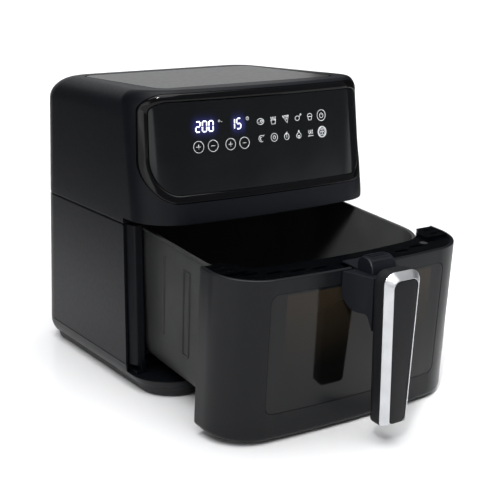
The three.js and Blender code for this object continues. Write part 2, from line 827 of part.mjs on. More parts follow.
function buttonSpring() {
  const turns = 4;
  const points = [];
  for (let i = 0; i <= turns * 8; i++) {
    const a = (Math.PI * i) / 4;
    points.push(new THREE.Vector3(4.2 * Math.cos(a), -14 + 4.2 * Math.sin(a), 153.2 + (15.4 * i) / (turns * 8)));
  }
  const wire = new THREE.Shape();
  wire.absarc(0, 0, 0.55, 0, Math.PI * 2);
  return new THREE.ExtrudeGeometry(wire, {
    steps: 36,
    curveSegments: 2,
    bevelEnabled: false,
    extrudePath: new THREE.CatmullRomCurve3(points),
  });
}

function bracketScrew(x) {
  return post(x, 12, 167.8, 169.4, 3, 12);
}

// ---- crisper tray ----------------------------------------------------------------------------
function crisperTray() {
  const outline = { hw: 108, yf: 49, yr: 236, rf: 36, rr: 28 };
  const plate = loft([ring({ ...outline, z: 42 }), ring({ ...outline, z: 44 })]);
  const holes = [];
  for (let i = -2; i <= 2; i++) {
    for (let j = -2; j <= 2; j++) {
      if (i || j) holes.push(post(i * 34, 144 + j * 36, 40, 46, 8, 6));
    }
  }
  const tab = cut(box(-13, 13, 143, 145, 43, 66), box(-9, 9, 140, 148, 52, 62));
  return join(cut(plate, ...holes), tab);
}

function trayBumper(x, y) {
  return post(x, y, PAN_LOW + 1.9, 41.7, 5, 14);
}

// ---- assembly ----------------------------------------------------------------------------------
function add(group, name, geometry, mat) {
  const mesh = new THREE.Mesh(geometry, mat);
  mesh.name = name;
  group.add(mesh);
}

const body = new THREE.Group();
add(body, "upper_housing", upperHousing(), MATT_BLACK);
add(body, "hood_underside", hoodUnderside(), MATT_BLACK);
add(body, "top_cover", fallBack(topPlate(0, HEIGHT - 1.9, HEIGHT)), MATT_BLACK);
add(body, "panel_bezel", panelBezel(), GLOSS_BLACK);
add(body, "control_panel", controlPanel(), GLOSS_BLACK);
add(body, "display_board", displayBoard(), BOARD);
add(body, "rear_vent_grille", rearVentGrille(), MATT_BLACK);
add(body, "lower_housing", lowerHousing(), SIDE_GREY);
add(body, "front_frame", frontFrame(), MATT_BLACK);
add(body, "base_tray", baseTray(), SIDE_GREY);
add(body, "heat_shield", heatShield(), STEEL);
add(body, "cord_gland", cordGland(), RUBBER);
add(body, "liner_wall", linerWall(), STEEL);
add(body, "liner_roof", linerRoof(), STEEL);
add(body, "liner_floor", linerFloor(), STEEL);
add(body, "heater_shroud", heaterShroud(), STEEL);
add(body, "heater_guard", heaterGuard(), STEEL);
add(body, "heating_element", heatingElement(), STEEL);
add(body, "upper_chassis", upperChassis(), STEEL);
add(body, "motor_bracket", motorBracket(), STEEL);
add(body, "fan_motor", fanMotor(), COPPER);
add(body, "power_board", powerBoard(), BOARD);
add(body, "temperature_sensor", temperatureSensor(), STEEL);
add(body, "thermal_fuse", box(-91.4, -83.2, 157, 173, 188, 200), GREY_PLASTIC);
add(body, "reed_switch", box(88, 104, 26, 34, 178.1, 184), GREY_PLASTIC);
for (const [side, x] of [["left", -88], ["right", 88]]) {
  add(body, `glide_pad_${side}`, glidePad(x), GREY_PLASTIC);
  add(body, `roller_axle_${side}`, rollerAxle(x), STEEL);
}
["front_left", "front_right", "rear_left", "rear_right"].forEach((corner, i) => {
  add(body, `foot_${corner}`, foot(FEET[i]), RUBBER);
});

const rotor = new THREE.Group();
add(rotor, "motor_shaft", motorShaft(), STEEL);
add(
  rotor,
  "hot_air_fan",
  bladeWheel({ hub: 11, tip: 54, z0: 199, z1: 214, count: 8, disc: true, pitch: 0 }),
  STEEL,
);
add(
  rotor,
  "cooling_fan",
  bladeWheel({ hub: 10, tip: 44, z0: 265, z1: 278, count: 7, disc: false, pitch: 35 }),
  GREY_PLASTIC,
);

const rollers = new THREE.Group();
add(rollers, "glide_roller_left", glideRoller(-88), GREY_PLASTIC);
add(rollers, "glide_roller_right", glideRoller(88), GREY_PLASTIC);

const drawer = new THREE.Group();
add(drawer, "drawer_front", drawerFront(), MATT_BLACK);
add(drawer, "drawer_trim", drawerTrim(), MATT_BLACK);
add(drawer, "window_glass", windowGlass(), GLASS);
add(drawer, "window_seal", windowSeal(), RUBBER);
add(drawer, "pan", pan(), PAN_COAT);
add(drawer, "pan_window", panWindow(), GLASS);
add(drawer, "handle_bracket", handleBracket(), MATT_BLACK);
add(drawer, "handle_grip", leaned(handleGrip()), MATT_BLACK);
add(drawer, "handle_trim", leaned(handleTrim()), SILVER);
add(drawer, "handle_insert", leaned(handleInsert()), MATT_BLACK);
add(drawer, "button_spring", buttonSpring(), STEEL);
add(drawer, "release_button", releaseButton(), MATT_BLACK);
add(drawer, "drawer_magnet", drawerMagnet(), STEEL);
add(drawer, "bracket_screw_left", bracketScrew(-9), STEEL);
add(drawer, "bracket_screw_right", bracketScrew(9), STEEL);
add(drawer, "crisper_tray", crisperTray(), PAN_COAT);
for (const [end, y] of [["front", 76], ["rear", 212]]) {
  add(drawer, `tray_bumper_${end}_left`, trayBumper(-88, y), RUBBER);
  add(drawer, `tray_bumper_${end}_right`, trayBumper(88, y), RUBBER);
}

// The drawer is pulled out along its own floor and tips over the rollers.
drawer.position.set(0, -PIVOT_Y - DRAWER_TRAVEL, -PIVOT_Z);
const tipped = new THREE.Group();
tipped.position.set(0, PIVOT_Y, PIVOT_Z);
tipped.rotation.x = DRAWER_TILT;
tipped.add(drawer);

// The row's origin is under the middle of the whole part as it is drawn.
const REST_MIDDLE_Y = 39.07;
const group = new THREE.Group();
group.position.y = -REST_MIDDLE_Y;
group.add(body, rotor, rollers, tipped);

export default group;
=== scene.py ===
"""Looks of an air fryer with its drawer part-way out: fine surfaces, materials, studio and camera.

Shapes are written in millimetres for the closed, level drawer: y = 0 is its front face, z = 0 the table,
+X is to the right when facing the front. HOUSING and DRAWER carry such shapes into the row frame.
"""
import json
import math

import bmesh
import bpy
from mathutils import Matrix, Vector


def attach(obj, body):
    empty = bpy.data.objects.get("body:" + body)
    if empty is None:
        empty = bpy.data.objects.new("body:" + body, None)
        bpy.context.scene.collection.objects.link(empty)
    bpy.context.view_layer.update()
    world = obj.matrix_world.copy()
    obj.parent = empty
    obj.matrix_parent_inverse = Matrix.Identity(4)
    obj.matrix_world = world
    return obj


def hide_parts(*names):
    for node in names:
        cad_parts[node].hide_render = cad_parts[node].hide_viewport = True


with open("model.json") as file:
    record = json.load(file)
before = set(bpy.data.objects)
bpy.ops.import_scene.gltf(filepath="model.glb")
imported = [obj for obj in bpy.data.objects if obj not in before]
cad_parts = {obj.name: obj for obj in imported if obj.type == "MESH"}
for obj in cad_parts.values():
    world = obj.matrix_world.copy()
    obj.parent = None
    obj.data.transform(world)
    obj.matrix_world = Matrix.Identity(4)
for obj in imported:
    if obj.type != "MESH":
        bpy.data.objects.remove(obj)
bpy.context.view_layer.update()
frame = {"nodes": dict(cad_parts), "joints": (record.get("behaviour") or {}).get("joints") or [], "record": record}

scene = bpy.context.scene
sin, cos, rad = math.sin, math.cos, math.radians

# ---- camera ----
CAMERA_AT = (-0.62224, -0.91944, 0.43193)
CAMERA_TURN = 33.98  # degrees from +Y towards +X
CAMERA_DOWN = 15.20
CAMERA_ROLL = 0.31
CAMERA_LENS = 80.8
CAMERA_SHIFT = (-0.0012, -0.003)
CAMERA_RANGE = 200  # metres


def add_camera():
    camera = bpy.data.objects.new("camera", bpy.data.cameras.new("camera"))
    scene.collection.objects.link(camera)
    az, el = rad(CAMERA_TURN), rad(CAMERA_DOWN)
    forward = Vector((sin(az) * cos(el), cos(az) * cos(el), -sin(el)))
    turn = forward.to_track_quat("-Z", "Y").to_matrix().to_4x4()
    roll = Matrix.Rotation(rad(CAMERA_ROLL), 4, "Z")
    camera.matrix_world = Matrix.Translation(CAMERA_AT) @ turn @ roll
    camera.data.lens = CAMERA_LENS
    camera.data.shift_x, camera.data.shift_y = CAMERA_SHIFT
    camera.data.clip_end = CAMERA_RANGE
    scene.camera = camera


add_camera()

# ---- driving dimensions (mm) ----
GAP = 0.35  # between neighbouring pieces
FAR = 200  # beyond the body on either side, for cuts right across it
HALF_W, DEPTH, HEIGHT = 136, 272, 300
FRONT_R, REAR_R, BOW = 45, 38, 4  # corners in plan, and how far the middle of the front bulges
EDGE_R, FACE_EDGE_R = 27, 13  # roundings up to the roof, at the sides and at the front
SIDE_DRAFT, REAR_DRAFT = 0.004, 0.07
FACE_BREAK, FACE_LEAN = 182, math.tan(rad(7.5))  # the front leans back above this height
BOARD_HOLE = (-88, 88, -20, 70, 212, 282)  # through the hood's face, for the display board
PLATE = {"hw": 104, "y0": 42, "y1": 210, "r": 15}
PLATE_GROOVE, PLATE_LEDGE = 1.5, 8  # the shadow gap round the roof plate, and what it rests on
ROOF_FALL, FALL_FROM = 0.024, 270
WALL = 3
SEAM_LOW, SEAM_HIGH, HOOD_LIP = 24.6, 169.4, 175.5
VENT_HALF, VENT_LOW, VENT_TOP = 60, 198, 262
CORD_X, CORD_Z, CORD_HOLE_R = 82, 48, 8.35
SIDE_FRONT, SIDE_CORNER_R = 63, 4
SHELF_Z, COLLAR_X, COLLAR_T, PILLAR_X = 16.5, 122, 2.2, 132.6
FRAME_REAR, FRAME_TOP = 76, 175
OPENING_HALF, OPENING_LOW, OPENING_TOP = 119.8, 24.2, 169.5
ROLLER_X, PIVOT_Y, PIVOT_Z = 88, 85, 20  # the drawer tips about the axis of the rollers
FEET = [(-96, 44), (96, 44), (-104, 214), (104, 214)]
FOOT_R = 10
SHELL_LOW, SHELL_TOP = 20, 174
LEDGE_LOW, LEDGE_TOP, BLOCK_X, BLOCK_TOP = 166.2, 171.6, 118, 173.8
MAGNET_X, MAGNET_Y, MAGNET_R = 96, 31, 4
NECK_NOTCH = 16.5  # half the width of the notch that the handle's neck passes through
PAN_HALF, PAN_FRONT, PAN_REAR, PAN_LOW, PAN_RIM = 117.5, 39, 246, 29, 168
PAN_FRONT_R, PAN_REAR_R, PAN_LEAN, PAN_SHEET, BEAD_R = 42, 34, 0.018, 1.6, 1.4
PANEL = {"hw": 133, "z0": 195.5, "z1": 297, "low": (30, 40), "high": (24, 16)}
PANEL_TAPER, TAPER_FROM, RIM_W, GLASS_DEPTH = 0.0003, 205, 7.5, 1.3
PANEL_CUT, WINDOW_CUT, PANE_CUT = (-60, 62), (-20, 28), (30, 62)  # y ranges that reach through the walls
WINDOW = {"hw": 99, "z0": 46, "z1": 160.3, "low": (8, 8), "high": (8, 8)}
PANE = {"hw": 74, "z0": 62, "z1": 150, "low": (6, 6), "high": (6, 6)}
TRAY = {"hw": 108, "yf": 49, "yr": 236, "rf": 36, "rr": 28}
TRAY_MIDDLE, HOLE_PITCH_X, HOLE_PITCH_Y, HOLE_R = 144, 34, 36, 8
GRIP_LOW, GRIP_TOP, GRIP_HALF_LOW, GRIP_HALF_TOP, HANDLE_LEAN = 41, 184, 15.5, 20, rad(2.3)
BUTTON_HALF, RIB_HALF, RIB_FIRST, RIB_PITCH = 14, 10.5, -20.2, 3.3
LEAN_Y, LEAN_Z, GRIP_SHIFT = -45, 170, -2.2  # where the grip leans, and how far forward it stands

# ---- places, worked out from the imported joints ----
joints = {joint["name"]: joint for joint in frame["joints"]}
slide = joints["drawer_slide"]
TILT = math.atan2(-slide["axis"][2], -slide["axis"][1])
TRAVEL = -1000 * slide["range_m"][0]
MIDDLE_Y = PIVOT_Y - 1000 * joints["drawer_tilt"]["pos_m"][1]


def move(x, y, z):
    return Matrix.Translation((x / 1000, y / 1000, z / 1000))


HOUSING = move(0, -MIDDLE_Y, 0)
DRAWER = (
    move(0, PIVOT_Y - MIDDLE_Y, PIVOT_Z)
    @ Matrix.Rotation(TILT, 4, "X")
    @ move(0, -PIVOT_Y - TRAVEL, -PIVOT_Z)
)
HANDLE = (
    DRAWER
    @ move(0, LEAN_Y + GRIP_SHIFT, LEAN_Z)
    @ Matrix.Rotation(-HANDLE_LEAN, 4, "X")
    @ move(0, -LEAN_Y, -LEAN_Z)
)

# ---- outlines ----
FACE_STEPS, FRONT_STEPS, REAR_STEPS = 12, 20, 12


def arc(cx, cy, rx, ry, start, sweep, steps):
    """Points along part of an ellipse, from start degrees through sweep degrees."""
    turns = [rad(start + sweep * i / steps) for i in range(steps + 1)]
    return [(cx + rx * cos(a), cy + ry * sin(a)) for a in turns]


def ring(hw, yf, yr, z, hwf=None, rf=FRONT_R, rr=REAR_R, bow=BOW):
    """A closed plan outline with a bulging front and four round corners, counter-clockwise from above."""
    hwf = hw if hwf is None else hwf
    flat = hwf - rf
    steps = [flat * i / FACE_STEPS for i in range(1 - FACE_STEPS, FACE_STEPS)]
    plan = [(x, yf + bow * (x / flat) ** 2) for x in steps]
    plan += arc(flat, yf + bow + rf, rf, rf, -90, 90, FRONT_STEPS)
    plan += arc(hw - rr, yr - rr, rr, rr, 0, 90, REAR_STEPS)
    plan += arc(rr - hw, yr - rr, rr, rr, 90, 90, REAR_STEPS)
    plan += arc(-flat, yf + bow + rf, rf, rf, 180, 90, FRONT_STEPS)
    return [(x, y, z) for x, y in plan]


def crown(z, r, inset):
    """How far a rounding of radius r, tangent to the top, has drawn the wall in at height z."""
    over = min(z - (HEIGHT - r), r - inset)
    return 0 if over <= 0 else (r - inset) * (1 - math.sqrt(1 - (over / (r - inset)) ** 2))


def body_section(z, inset=0):
    """The body's plan sizes at height z, drawn in by inset."""
    side, face = crown(z, EDGE_R, inset), crown(z, FACE_EDGE_R, inset)
    hw = HALF_W - SIDE_DRAFT * (z - SEAM_LOW) - inset
    return {
        "hw": hw - side,
        "hwf": hw - face,
        "yf": max(0, z - FACE_BREAK) * FACE_LEAN + inset + face * 0.6,
        "yr": DEPTH - REAR_DRAFT * (z - SEAM_LOW) - inset - side,
        "rf": FRONT_R - inset - face,
        "rr": REAR_R - inset - side * 0.6,
    }


def body_ring(z, inset=0):
    return ring(z=z, **body_section(z, inset))


def front_surface(x, z, inset):
    """The y of the body's front face at x and z, drawn in by inset."""
    part = body_section(z, inset)
    flat = part["hwf"] - part["rf"]
    if abs(x) <= flat:
        return part["yf"] + BOW * (x / flat) ** 2
    over = min(abs(x) - flat, part["rf"] * 0.999)
    return part["yf"] + BOW + part["rf"] - math.sqrt(part["rf"] ** 2 - over**2)


def base_ring(z, inset, front):
    return ring(HALF_W - inset, front, DEPTH - inset, z, rf=FRONT_R - inset, rr=REAR_R - inset)


def pan_ring(z, inset=0):
    """The pan's outline at height z; its walls lean in towards its floor."""
    lean = PAN_LEAN * (PAN_RIM - z)
    half = PAN_HALF - lean - inset
    front, rear = PAN_FRONT + inset + lean, PAN_REAR - inset - lean
    return ring(half, front, rear, z, rf=PAN_FRONT_R - inset, rr=PAN_REAR_R - inset)


def face_outline(hw, z0, z1, low, high, steps=10, rise=8, run=1):
    """An upright rectangle with elliptical corners, as (x, z) points. rise and run split its long sides."""
    def between(a, b, parts):
        return [(a[0] + (b[0] - a[0]) * i / parts, a[1] + (b[1] - a[1]) * i / parts) for i in range(1, parts)]

    corners = [
        arc(hw - low[0], z0 + low[1], *low, -90, 90, steps),
        arc(hw - high[0], z1 - high[1], *high, 0, 90, steps),
        arc(high[0] - hw, z1 - high[1], *high, 90, 90, steps),
        arc(low[0] - hw, z0 + low[1], *low, 180, 90, steps),
    ]
    outline = []
    for i, corner in enumerate(corners):
        outline += corner
        outline += between(corner[-1], corners[(i + 1) % 4][0], rise if i % 2 == 0 else run)
    return outline


def inset_outline(sizes, inset, corner_share=0.0, **steps):
    """face_outline with every side drawn in, and the corner radii by a share of that."""
    def shrink(radii):
        return tuple(r - inset * corner_share for r in radii)

    return face_outline(
        sizes["hw"] - inset, sizes["z0"] + inset, sizes["z1"] - inset,
        shrink(sizes["low"]), shrink(sizes["high"]), **steps,
    )


def panel_outline(inset):
    """The control panel's outline, slightly narrower towards its top."""
    outline = inset_outline(PANEL, inset, 0.8, steps=16, rise=12, run=60)
    return [(x * (1 - PANEL_TAPER * (z - TAPER_FROM)), z) for x, z in outline]


# ---- mesh tools ----
def solid(points, faces):
    """A closed mesh object whose faces point outwards."""
    mesh = bpy.data.meshes.new("part")
    mesh.from_pydata(points, [], faces)
    work = bmesh.new()
    work.from_mesh(mesh)
    bmesh.ops.remove_doubles(work, verts=work.verts, dist=1e-4)
    bmesh.ops.recalc_face_normals(work, faces=work.faces)
    work.to_mesh(mesh)
    work.free()
    obj = bpy.data.objects.new("part", mesh)
    scene.collection.objects.link(obj)
    return obj


def loft(rings, closed=False):
    """Skins a stack of equal outlines. A closed stack is a tube; an open one gets a cap at each end."""
    n, count = len(rings[0]), len(rings)
    points = [point for outline in rings for point in outline]
    faces = []
    for k in range(count if closed else count - 1):
        low, high = k * n, (k + 1) % count * n
        faces += [(low + i, low + (i + 1) % n, high + (i + 1) % n, high + i) for i in range(n)]
    if not closed:
        faces += [tuple(range(n))[::-1], tuple(range((count - 1) * n, count * n))]
    return solid(points, faces)


def band(levels, outer, inner):
    """The skin of the body between two depths below its surface."""
    return loft([body_ring(z, outer) for z in levels] + [body_ring(z, inner) for z in levels[::-1]], True)


def box(x0, x1, y0, y1, z0, z1):
    return loft([[(x0, y0, z), (x1, y0, z), (x1, y1, z), (x0, y1, z)] for z in (z0, z1)])


def face_prism(outline, y0, y1):
    return loft([[(x, y, z) for x, z in outline] for y in (y0, y1)])


def plan_prism(hw, y0, y1, r, z0, z1):
    """An upright block with round corners, hw to either side of the middle."""
    return loft([ring(hw, y0, y1, z, rf=r, rr=r, bow=0) for z in (z0, z1)])


def circle(r, sides=32):
    return [(r * cos(2 * math.pi * i / sides), r * sin(2 * math.pi * i / sides)) for i in range(sides)]


def post(x, y, z0, z1, r, sides=32):
    return loft([[(x + a, y + b, z) for a, b in circle(r, sides)] for z in (z0, z1)])


def rod_x(x0, x1, y, z, r):
    return loft([[(x, y + a, z + b) for a, b in circle(r)] for x in (x0, x1)])


def rod_y(x, y0, y1, z, r, sides=32):
    return loft([[(x + a, y, z + b) for a, b in circle(r, sides)] for y in (y0, y1)])


def turned(profile, x, y, sides=48):
    """Revolves a closed (radius, z) profile about the vertical through (x, y)."""
    turns = [2 * math.pi * i / sides for i in range(sides)]
    return loft([[(x + r * cos(a), y + r * sin(a), z) for r, z in profile] for a in turns], True)


def bake(obj):
    """Replaces the object's mesh with what its modifiers make of it."""
    bpy.context.view_layer.update()
    made = bpy.data.meshes.new_from_object(obj.evaluated_get(bpy.context.evaluated_depsgraph_get()))
    obj.modifiers.clear()
    obj.data = made
    return obj


def boolean(operation, target, others):
    """Applies the other solids to the target one by one, and removes them."""
    for other in others:
        modifier = target.modifiers.new("boolean", "BOOLEAN")
        modifier.operation = operation
        modifier.solver = "MANIFOLD"
        modifier.object = other
        bake(target)
        bpy.data.objects.remove(other)
    return target


def cut(target, *others):
    return boolean("DIFFERENCE", target, others)


def common(target, *others):
    return boolean("INTERSECT", target, others)


def join(target, *others):
    return boolean("UNION", target, others)


def rounded(obj, width, segments=3, angle=30):
    """Rounds the object's sharp edges for good."""
    add_bevel(obj, width, segments, angle)
    return bake(obj)


def add_bevel(obj, width, segments, angle=30):
    bevel = obj.modifiers.new("edges", "BEVEL")
    bevel.width = width
    bevel.segments = segments
    bevel.limit_method = "ANGLE"
    bevel.angle_limit = rad(angle)
    bevel.use_clamp_overlap = True
    bevel.harden_normals = True


def fall_back(obj):
    """Lets the roof fall slightly towards the back."""
    for vertex in obj.data.vertices:
        share = max(0, (vertex.co.z - FALL_FROM) / (HEIGHT - FALL_FROM))
        vertex.co.z -= share * ROOF_FALL * max(0, vertex.co.y - PLATE["y0"])
    return obj


def place(obj, name, at, body, slot, material, *nodes, edge=0.35, segments=2, angle=30):
    """Turns a shape in millimetres into a finished piece on its body."""
    obj.name = name
    obj.data.name = name
    work = bmesh.new()
    work.from_mesh(obj.data)
    bmesh.ops.remove_doubles(work, verts=work.verts, dist=2e-3)
    bmesh.ops.dissolve_degenerate(work, edges=work.edges, dist=1e-3)
    bmesh.ops.scale(work, vec=(0.001, 0.001, 0.001), verts=work.verts)
    for face in work.faces:
        face.smooth = True
    work.to_mesh(obj.data)
    work.free()
    obj.data.materials.clear()
    obj.data.materials.append(material)
    if edge:
        add_bevel(obj, edge / 1000, segments, angle)
        obj.modifiers.new("normals", "WEIGHTED_NORMAL").keep_sharp = True
    obj.matrix_world = at
    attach(obj, body)
    if nodes:
        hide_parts(*nodes)


def on_housing(obj, name, slot, material, *nodes, **finish):
    place(obj, name, HOUSING, "housing", slot, material, *nodes, **finish)


def on_drawer(obj, name, slot, material, *nodes, at=DRAWER, **finish):
    place(obj, name, at, "drawer", slot, material, *nodes, **finish)


# ---- materials ----
class Shader:
    """A small helper that builds one node material on object coordinates."""

    def __init__(self, name, colour, roughness, metallic=0.0, specular=0.5):
        self.material = bpy.data.materials.new(name)
        self.material.use_nodes = True
        self.tree = self.material.node_tree
        self.surface = self.tree.nodes["Principled BSDF"]
        self.colour = (*colour, 1)
        self.give("Base Color", self.colour)
        self.give("Roughness", roughness)
        self.give("Metallic", metallic)
        self.give("Specular IOR Level", specular)
        self.roughness = roughness
        self.place = self.node("ShaderNodeTexCoord").outputs["Object"]

    def node(self, kind, settings=None, **inputs):
        """Adds a node. Inputs are given by name, or by number as i0, i1 and so on."""
        made = self.tree.nodes.new(kind)
        for key, value in (settings or {}).items():
            setattr(made, key, value)
        for key, value in inputs.items():
            socket = made.inputs[int(key[1:])] if key[0] == "i" and key[1:].isdigit() else made.inputs[key]
            self.feed(value, socket)
        return made

    def feed(self, value, socket):
        if isinstance(value, bpy.types.NodeSocket):
            self.tree.links.new(value, socket)
        else:
            socket.default_value = value

    def give(self, name, value):
        """Sets or links an input of the surface."""
        self.feed(value, self.surface.inputs[name])

    def noise(self, scale, detail=3.0, stretch=(1, 1, 1)):
        mapping = self.node("ShaderNodeMapping", Vector=self.place, Scale=stretch)
        texture = self.node("ShaderNodeTexNoise", Vector=mapping.outputs[0], Scale=scale, Detail=detail)
        return texture.outputs[0]

    def spread(self, value, low, high, start=0.3, end=0.7):
        made = self.node("ShaderNodeMapRange", i0=value, i1=start, i2=end, i3=low, i4=high)
        return made.outputs[0]

    def math(self, operation, a, b=0.0):
        return self.node("ShaderNodeMath", {"operation": operation}, i0=a, i1=b).outputs[0]

    def blend(self, share, first, second):
        made = self.node("ShaderNodeMix", {"data_type": "RGBA"}, i0=share, i6=first, i7=second)
        return made.outputs[2]

    def emit(self, colour, strength):
        self.give("Emission Color", colour)
        self.give("Emission Strength", strength)

    def tone(self, amount, scale):
        """Lets the colour drift by a share of itself."""
        shades = [tuple(c * k for c in self.colour[:3]) + (1,) for k in (1 - amount, 1 + amount)]
        mixed = self.blend(self.spread(self.noise(scale, 4.0), 0, 1), *shades)
        self.give("Base Color", mixed)
        return mixed

    def gloss(self, amount, scale, stretch=(1, 1, 1)):
        """Lets the roughness drift both ways."""
        value = self.spread(self.noise(scale, 3, stretch), self.roughness - amount, self.roughness + amount)
        self.give("Roughness", value)

    def relief(self, height, depth, strength=0.5):
        """Bumps the surface; depth is in metres."""
        bump = self.node("ShaderNodeBump", Height=height, Distance=depth, Strength=strength)
        self.give("Normal", bump.outputs[0])

    def coordinate(self, axis):
        return self.node("ShaderNodeSeparateXYZ", i0=self.place).outputs[axis]


def moulded(name, colour, roughness, specular=0.5, grain=1400, depth=0.00004):
    """Spark-eroded plastic: a fine even grain, slightly uneven gloss and tone."""
    shader = Shader(name, colour, roughness, specular=specular)
    shader.tone(0.1, 160)
    shader.gloss(0.025, 220)
    shader.relief(shader.noise(grain, 2), depth, 0.35)
    return shader.material


def polished(name, colour, roughness):
    """Gloss plastic with faint moulding waves and handling marks."""
    shader = Shader(name, colour, roughness, specular=0.2)
    shader.tone(0.15, 20)
    shader.gloss(0.03, 60)
    shader.relief(shader.noise(35, 1), 0.0002, 0.04)
    return shader.material


def metal(name, colour, roughness, grain=(1, 1, 14)):
    """Metal with a drawn grain along one axis."""
    shader = Shader(name, colour, roughness, metallic=1.0)
    shader.tone(0.08, 60)
    shader.gloss(0.06, 900, grain)
    shader.relief(shader.noise(900, 2, grain), 0.00003, 0.25)
    return shader.material


def nonstick(name):
    """Non-stick coating: fine flecks, an orange-peel surface and slight wear on the tone."""
    shader = Shader(name, (0.0250, 0.0258, 0.0252), 0.42, specular=0.15)
    base = shader.tone(0.14, 24)
    flecks = shader.spread(shader.noise(1500, 1), 0, 0.5, 0.66, 0.74)
    shader.give("Base Color", shader.blend(flecks, base, (0.06, 0.06, 0.06, 1)))
    shader.gloss(0.07, 30)
    shader.relief(shader.noise(420, 3), 0.00008, 0.4)
    return shader.material


DISPLAYS = ((-0.0717, 0.0125), (-0.0351, 0.0075))  # middle and half width of each glow, in metres
DISPLAY_Z, DISPLAY_HALF_HEIGHT = 0.2655, 0.0072


def touch_glass():
    """The black glass of the control panel, with the soft glow of the two lit displays behind it."""
    shader = Shader("touch_glass", (0.0040, 0.0047, 0.0052), 0.12, specular=0.25)
    shader.tone(0.12, 18)
    shader.gloss(0.02, 40)
    x, z = shader.coordinate(0), shader.coordinate(2)
    glow = 0.0
    for middle, half_width in DISPLAYS:
        across = shader.math("DIVIDE", shader.math("SUBTRACT", x, middle), half_width)
        up = shader.math("DIVIDE", shader.math("SUBTRACT", z, DISPLAY_Z), DISPLAY_HALF_HEIGHT)
        sideways = shader.math("POWER", shader.math("ABSOLUTE", across), 4)
        far = shader.math("ADD", sideways, shader.math("POWER", up, 2))
        fade = shader.math("POWER", math.e, shader.math("MULTIPLY", far, -1.2))
        glow = shader.math("ADD", glow, fade)
    shader.emit(shader.blend(glow, (0, 0, 0, 1), (0.03, 0.03, 0.17, 1)), 1.0)
    return shader.material


def lit_digits():
    shader = Shader("lit_digits", (0.8, 0.84, 1.0), 0.4)
    warm = shader.spread(shader.noise(500, 1), 0, 1)
    shader.emit(shader.blend(warm, (0.78, 0.82, 1.0, 1), (0.92, 0.94, 1.0, 1)), 1.5)
    return shader.material


def printed_marks():
    shader = Shader("printed_marks", (0.62, 0.63, 0.65), 0.45)
    shader.tone(0.1, 400)
    shader.gloss(0.05, 300)
    return shader.material


CLEAR_HALF, CLEAR_LOW, CLEAR_TOP = 0.083, 0.058, 0.158  # the window's clear middle, in metres
BORDER_BLUR = 0.0005


def smoked_window():
    """Smoked glass with a dark printed border round its clear middle; the clear middle has painted light, lighter
    and warmer towards its top.
    """
    shader = Shader("smoked_window", (0.03, 0.027, 0.024), 0.07, specular=0.26)
    x, z = shader.math("ABSOLUTE", shader.coordinate(0)), shader.coordinate(2)
    across = shader.spread(x, 1, 0, CLEAR_HALF - BORDER_BLUR, CLEAR_HALF + BORDER_BLUR)
    above = shader.spread(z, 0, 1, CLEAR_LOW - BORDER_BLUR, CLEAR_LOW + BORDER_BLUR)
    below = shader.spread(z, 1, 0, CLEAR_TOP - BORDER_BLUR, CLEAR_TOP + BORDER_BLUR)
    clear = shader.math("MULTIPLY", shader.math("MULTIPLY", across, above), below)
    # painted light: a ragged height ramp makes the clear middle lighter and warmer towards its top, standing in
    # for light behind the glass
    height = shader.math("ADD", z, shader.math("MULTIPLY", shader.noise(14, 2), 0.03))
    painted_light_share = shader.spread(height, 0, 1, 0.1, 0.165)
    smoke_and_painted_light = shader.blend(painted_light_share, (0.0022, 0.0022, 0.0021, 1), (0.0135, 0.0100, 0.0062, 1))
    shader.give("Base Color", shader.blend(clear, (0.0030, 0.0034, 0.0040, 1), smoke_and_painted_light))
    shader.gloss(0.02, 40)
    shader.relief(shader.noise(30, 1), 0.0002, 0.03)
    return shader.material


def circuit_board():
    shader = Shader("circuit_board", (0.012, 0.07, 0.03), 0.45)
    base = shader.tone(0.2, 80)
    tracks = shader.node("ShaderNodeTexBrick", Vector=shader.place, Scale=160.0).outputs[1]
    shader.give("Base Color", shader.blend(tracks, base, (0.05, 0.14, 0.05, 1)))
    shader.gloss(0.08, 120)
    shader.relief(tracks, 0.00005, 0.4)
    return shader.material


def studio_floor():
    """A white table top that mirrors faintly round the object and not at all further away."""
    shader = Shader("studio_floor", (0.93, 0.93, 0.935), 0.25)
    shader.gloss(0.02, 3)
    far = shader.node("ShaderNodeVectorMath", {"operation": "LENGTH"}, i0=shader.place).outputs[1]
    shader.give("Specular IOR Level", shader.spread(far, 0.35, 0, 0.4, 1.3))
    return shader.material


MATT_BLACK = moulded("matt_black", (0.0027, 0.0033, 0.0050), 0.45, specular=0.15)
SHELL_BLACK = moulded("shell_black", (0.0032, 0.0037, 0.0046), 0.34, specular=0.21)
SIDE_BLACK = moulded("side_black", (0.0026, 0.0032, 0.0048), 0.42, specular=0.2)
GRIP_BLACK = moulded("grip_black", (0.0052, 0.0055, 0.0064), 0.45, specular=0.2)
LEDGE_BLACK = moulded("ledge_black", (0.0006, 0.0008, 0.0011), 0.16, specular=0.05)
BASE_BLACK = moulded("base_black", (0.0062, 0.0068, 0.0082), 0.42, specular=0.3)
ROOF_BLACK = moulded("roof_black", (0.0060, 0.0055, 0.0057), 0.3, specular=0.44, depth=0.00002)
GLOSS_BLACK = polished("gloss_black", (0.0020, 0.0021, 0.0024), 0.1)
TOUCH_GLASS = touch_glass()
PAN_COAT = nonstick("pan_coat")
SILVER = metal("silver", (0.60, 0.61, 0.625), 0.38, grain=(14, 14, 1))
STEEL = metal("steel", (0.52, 0.53, 0.55), 0.32)
ELEMENT = metal("element", (0.2, 0.19, 0.18), 0.45)
MOTOR = metal("motor", (0.35, 0.22, 0.12), 0.4, grain=(1, 1, 30))
GREY_PLASTIC = moulded("grey_plastic", (0.42, 0.42, 0.41), 0.45)
RUBBER = moulded("rubber", (0.012, 0.012, 0.012), 0.8, grain=700)
FERRITE = moulded("ferrite", (0.012, 0.012, 0.013), 0.5, specular=0.3, grain=500)
WINDOW_GLASS = smoked_window()
BOARD = circuit_board()
DIGITS = lit_digits()
MARKS = printed_marks()


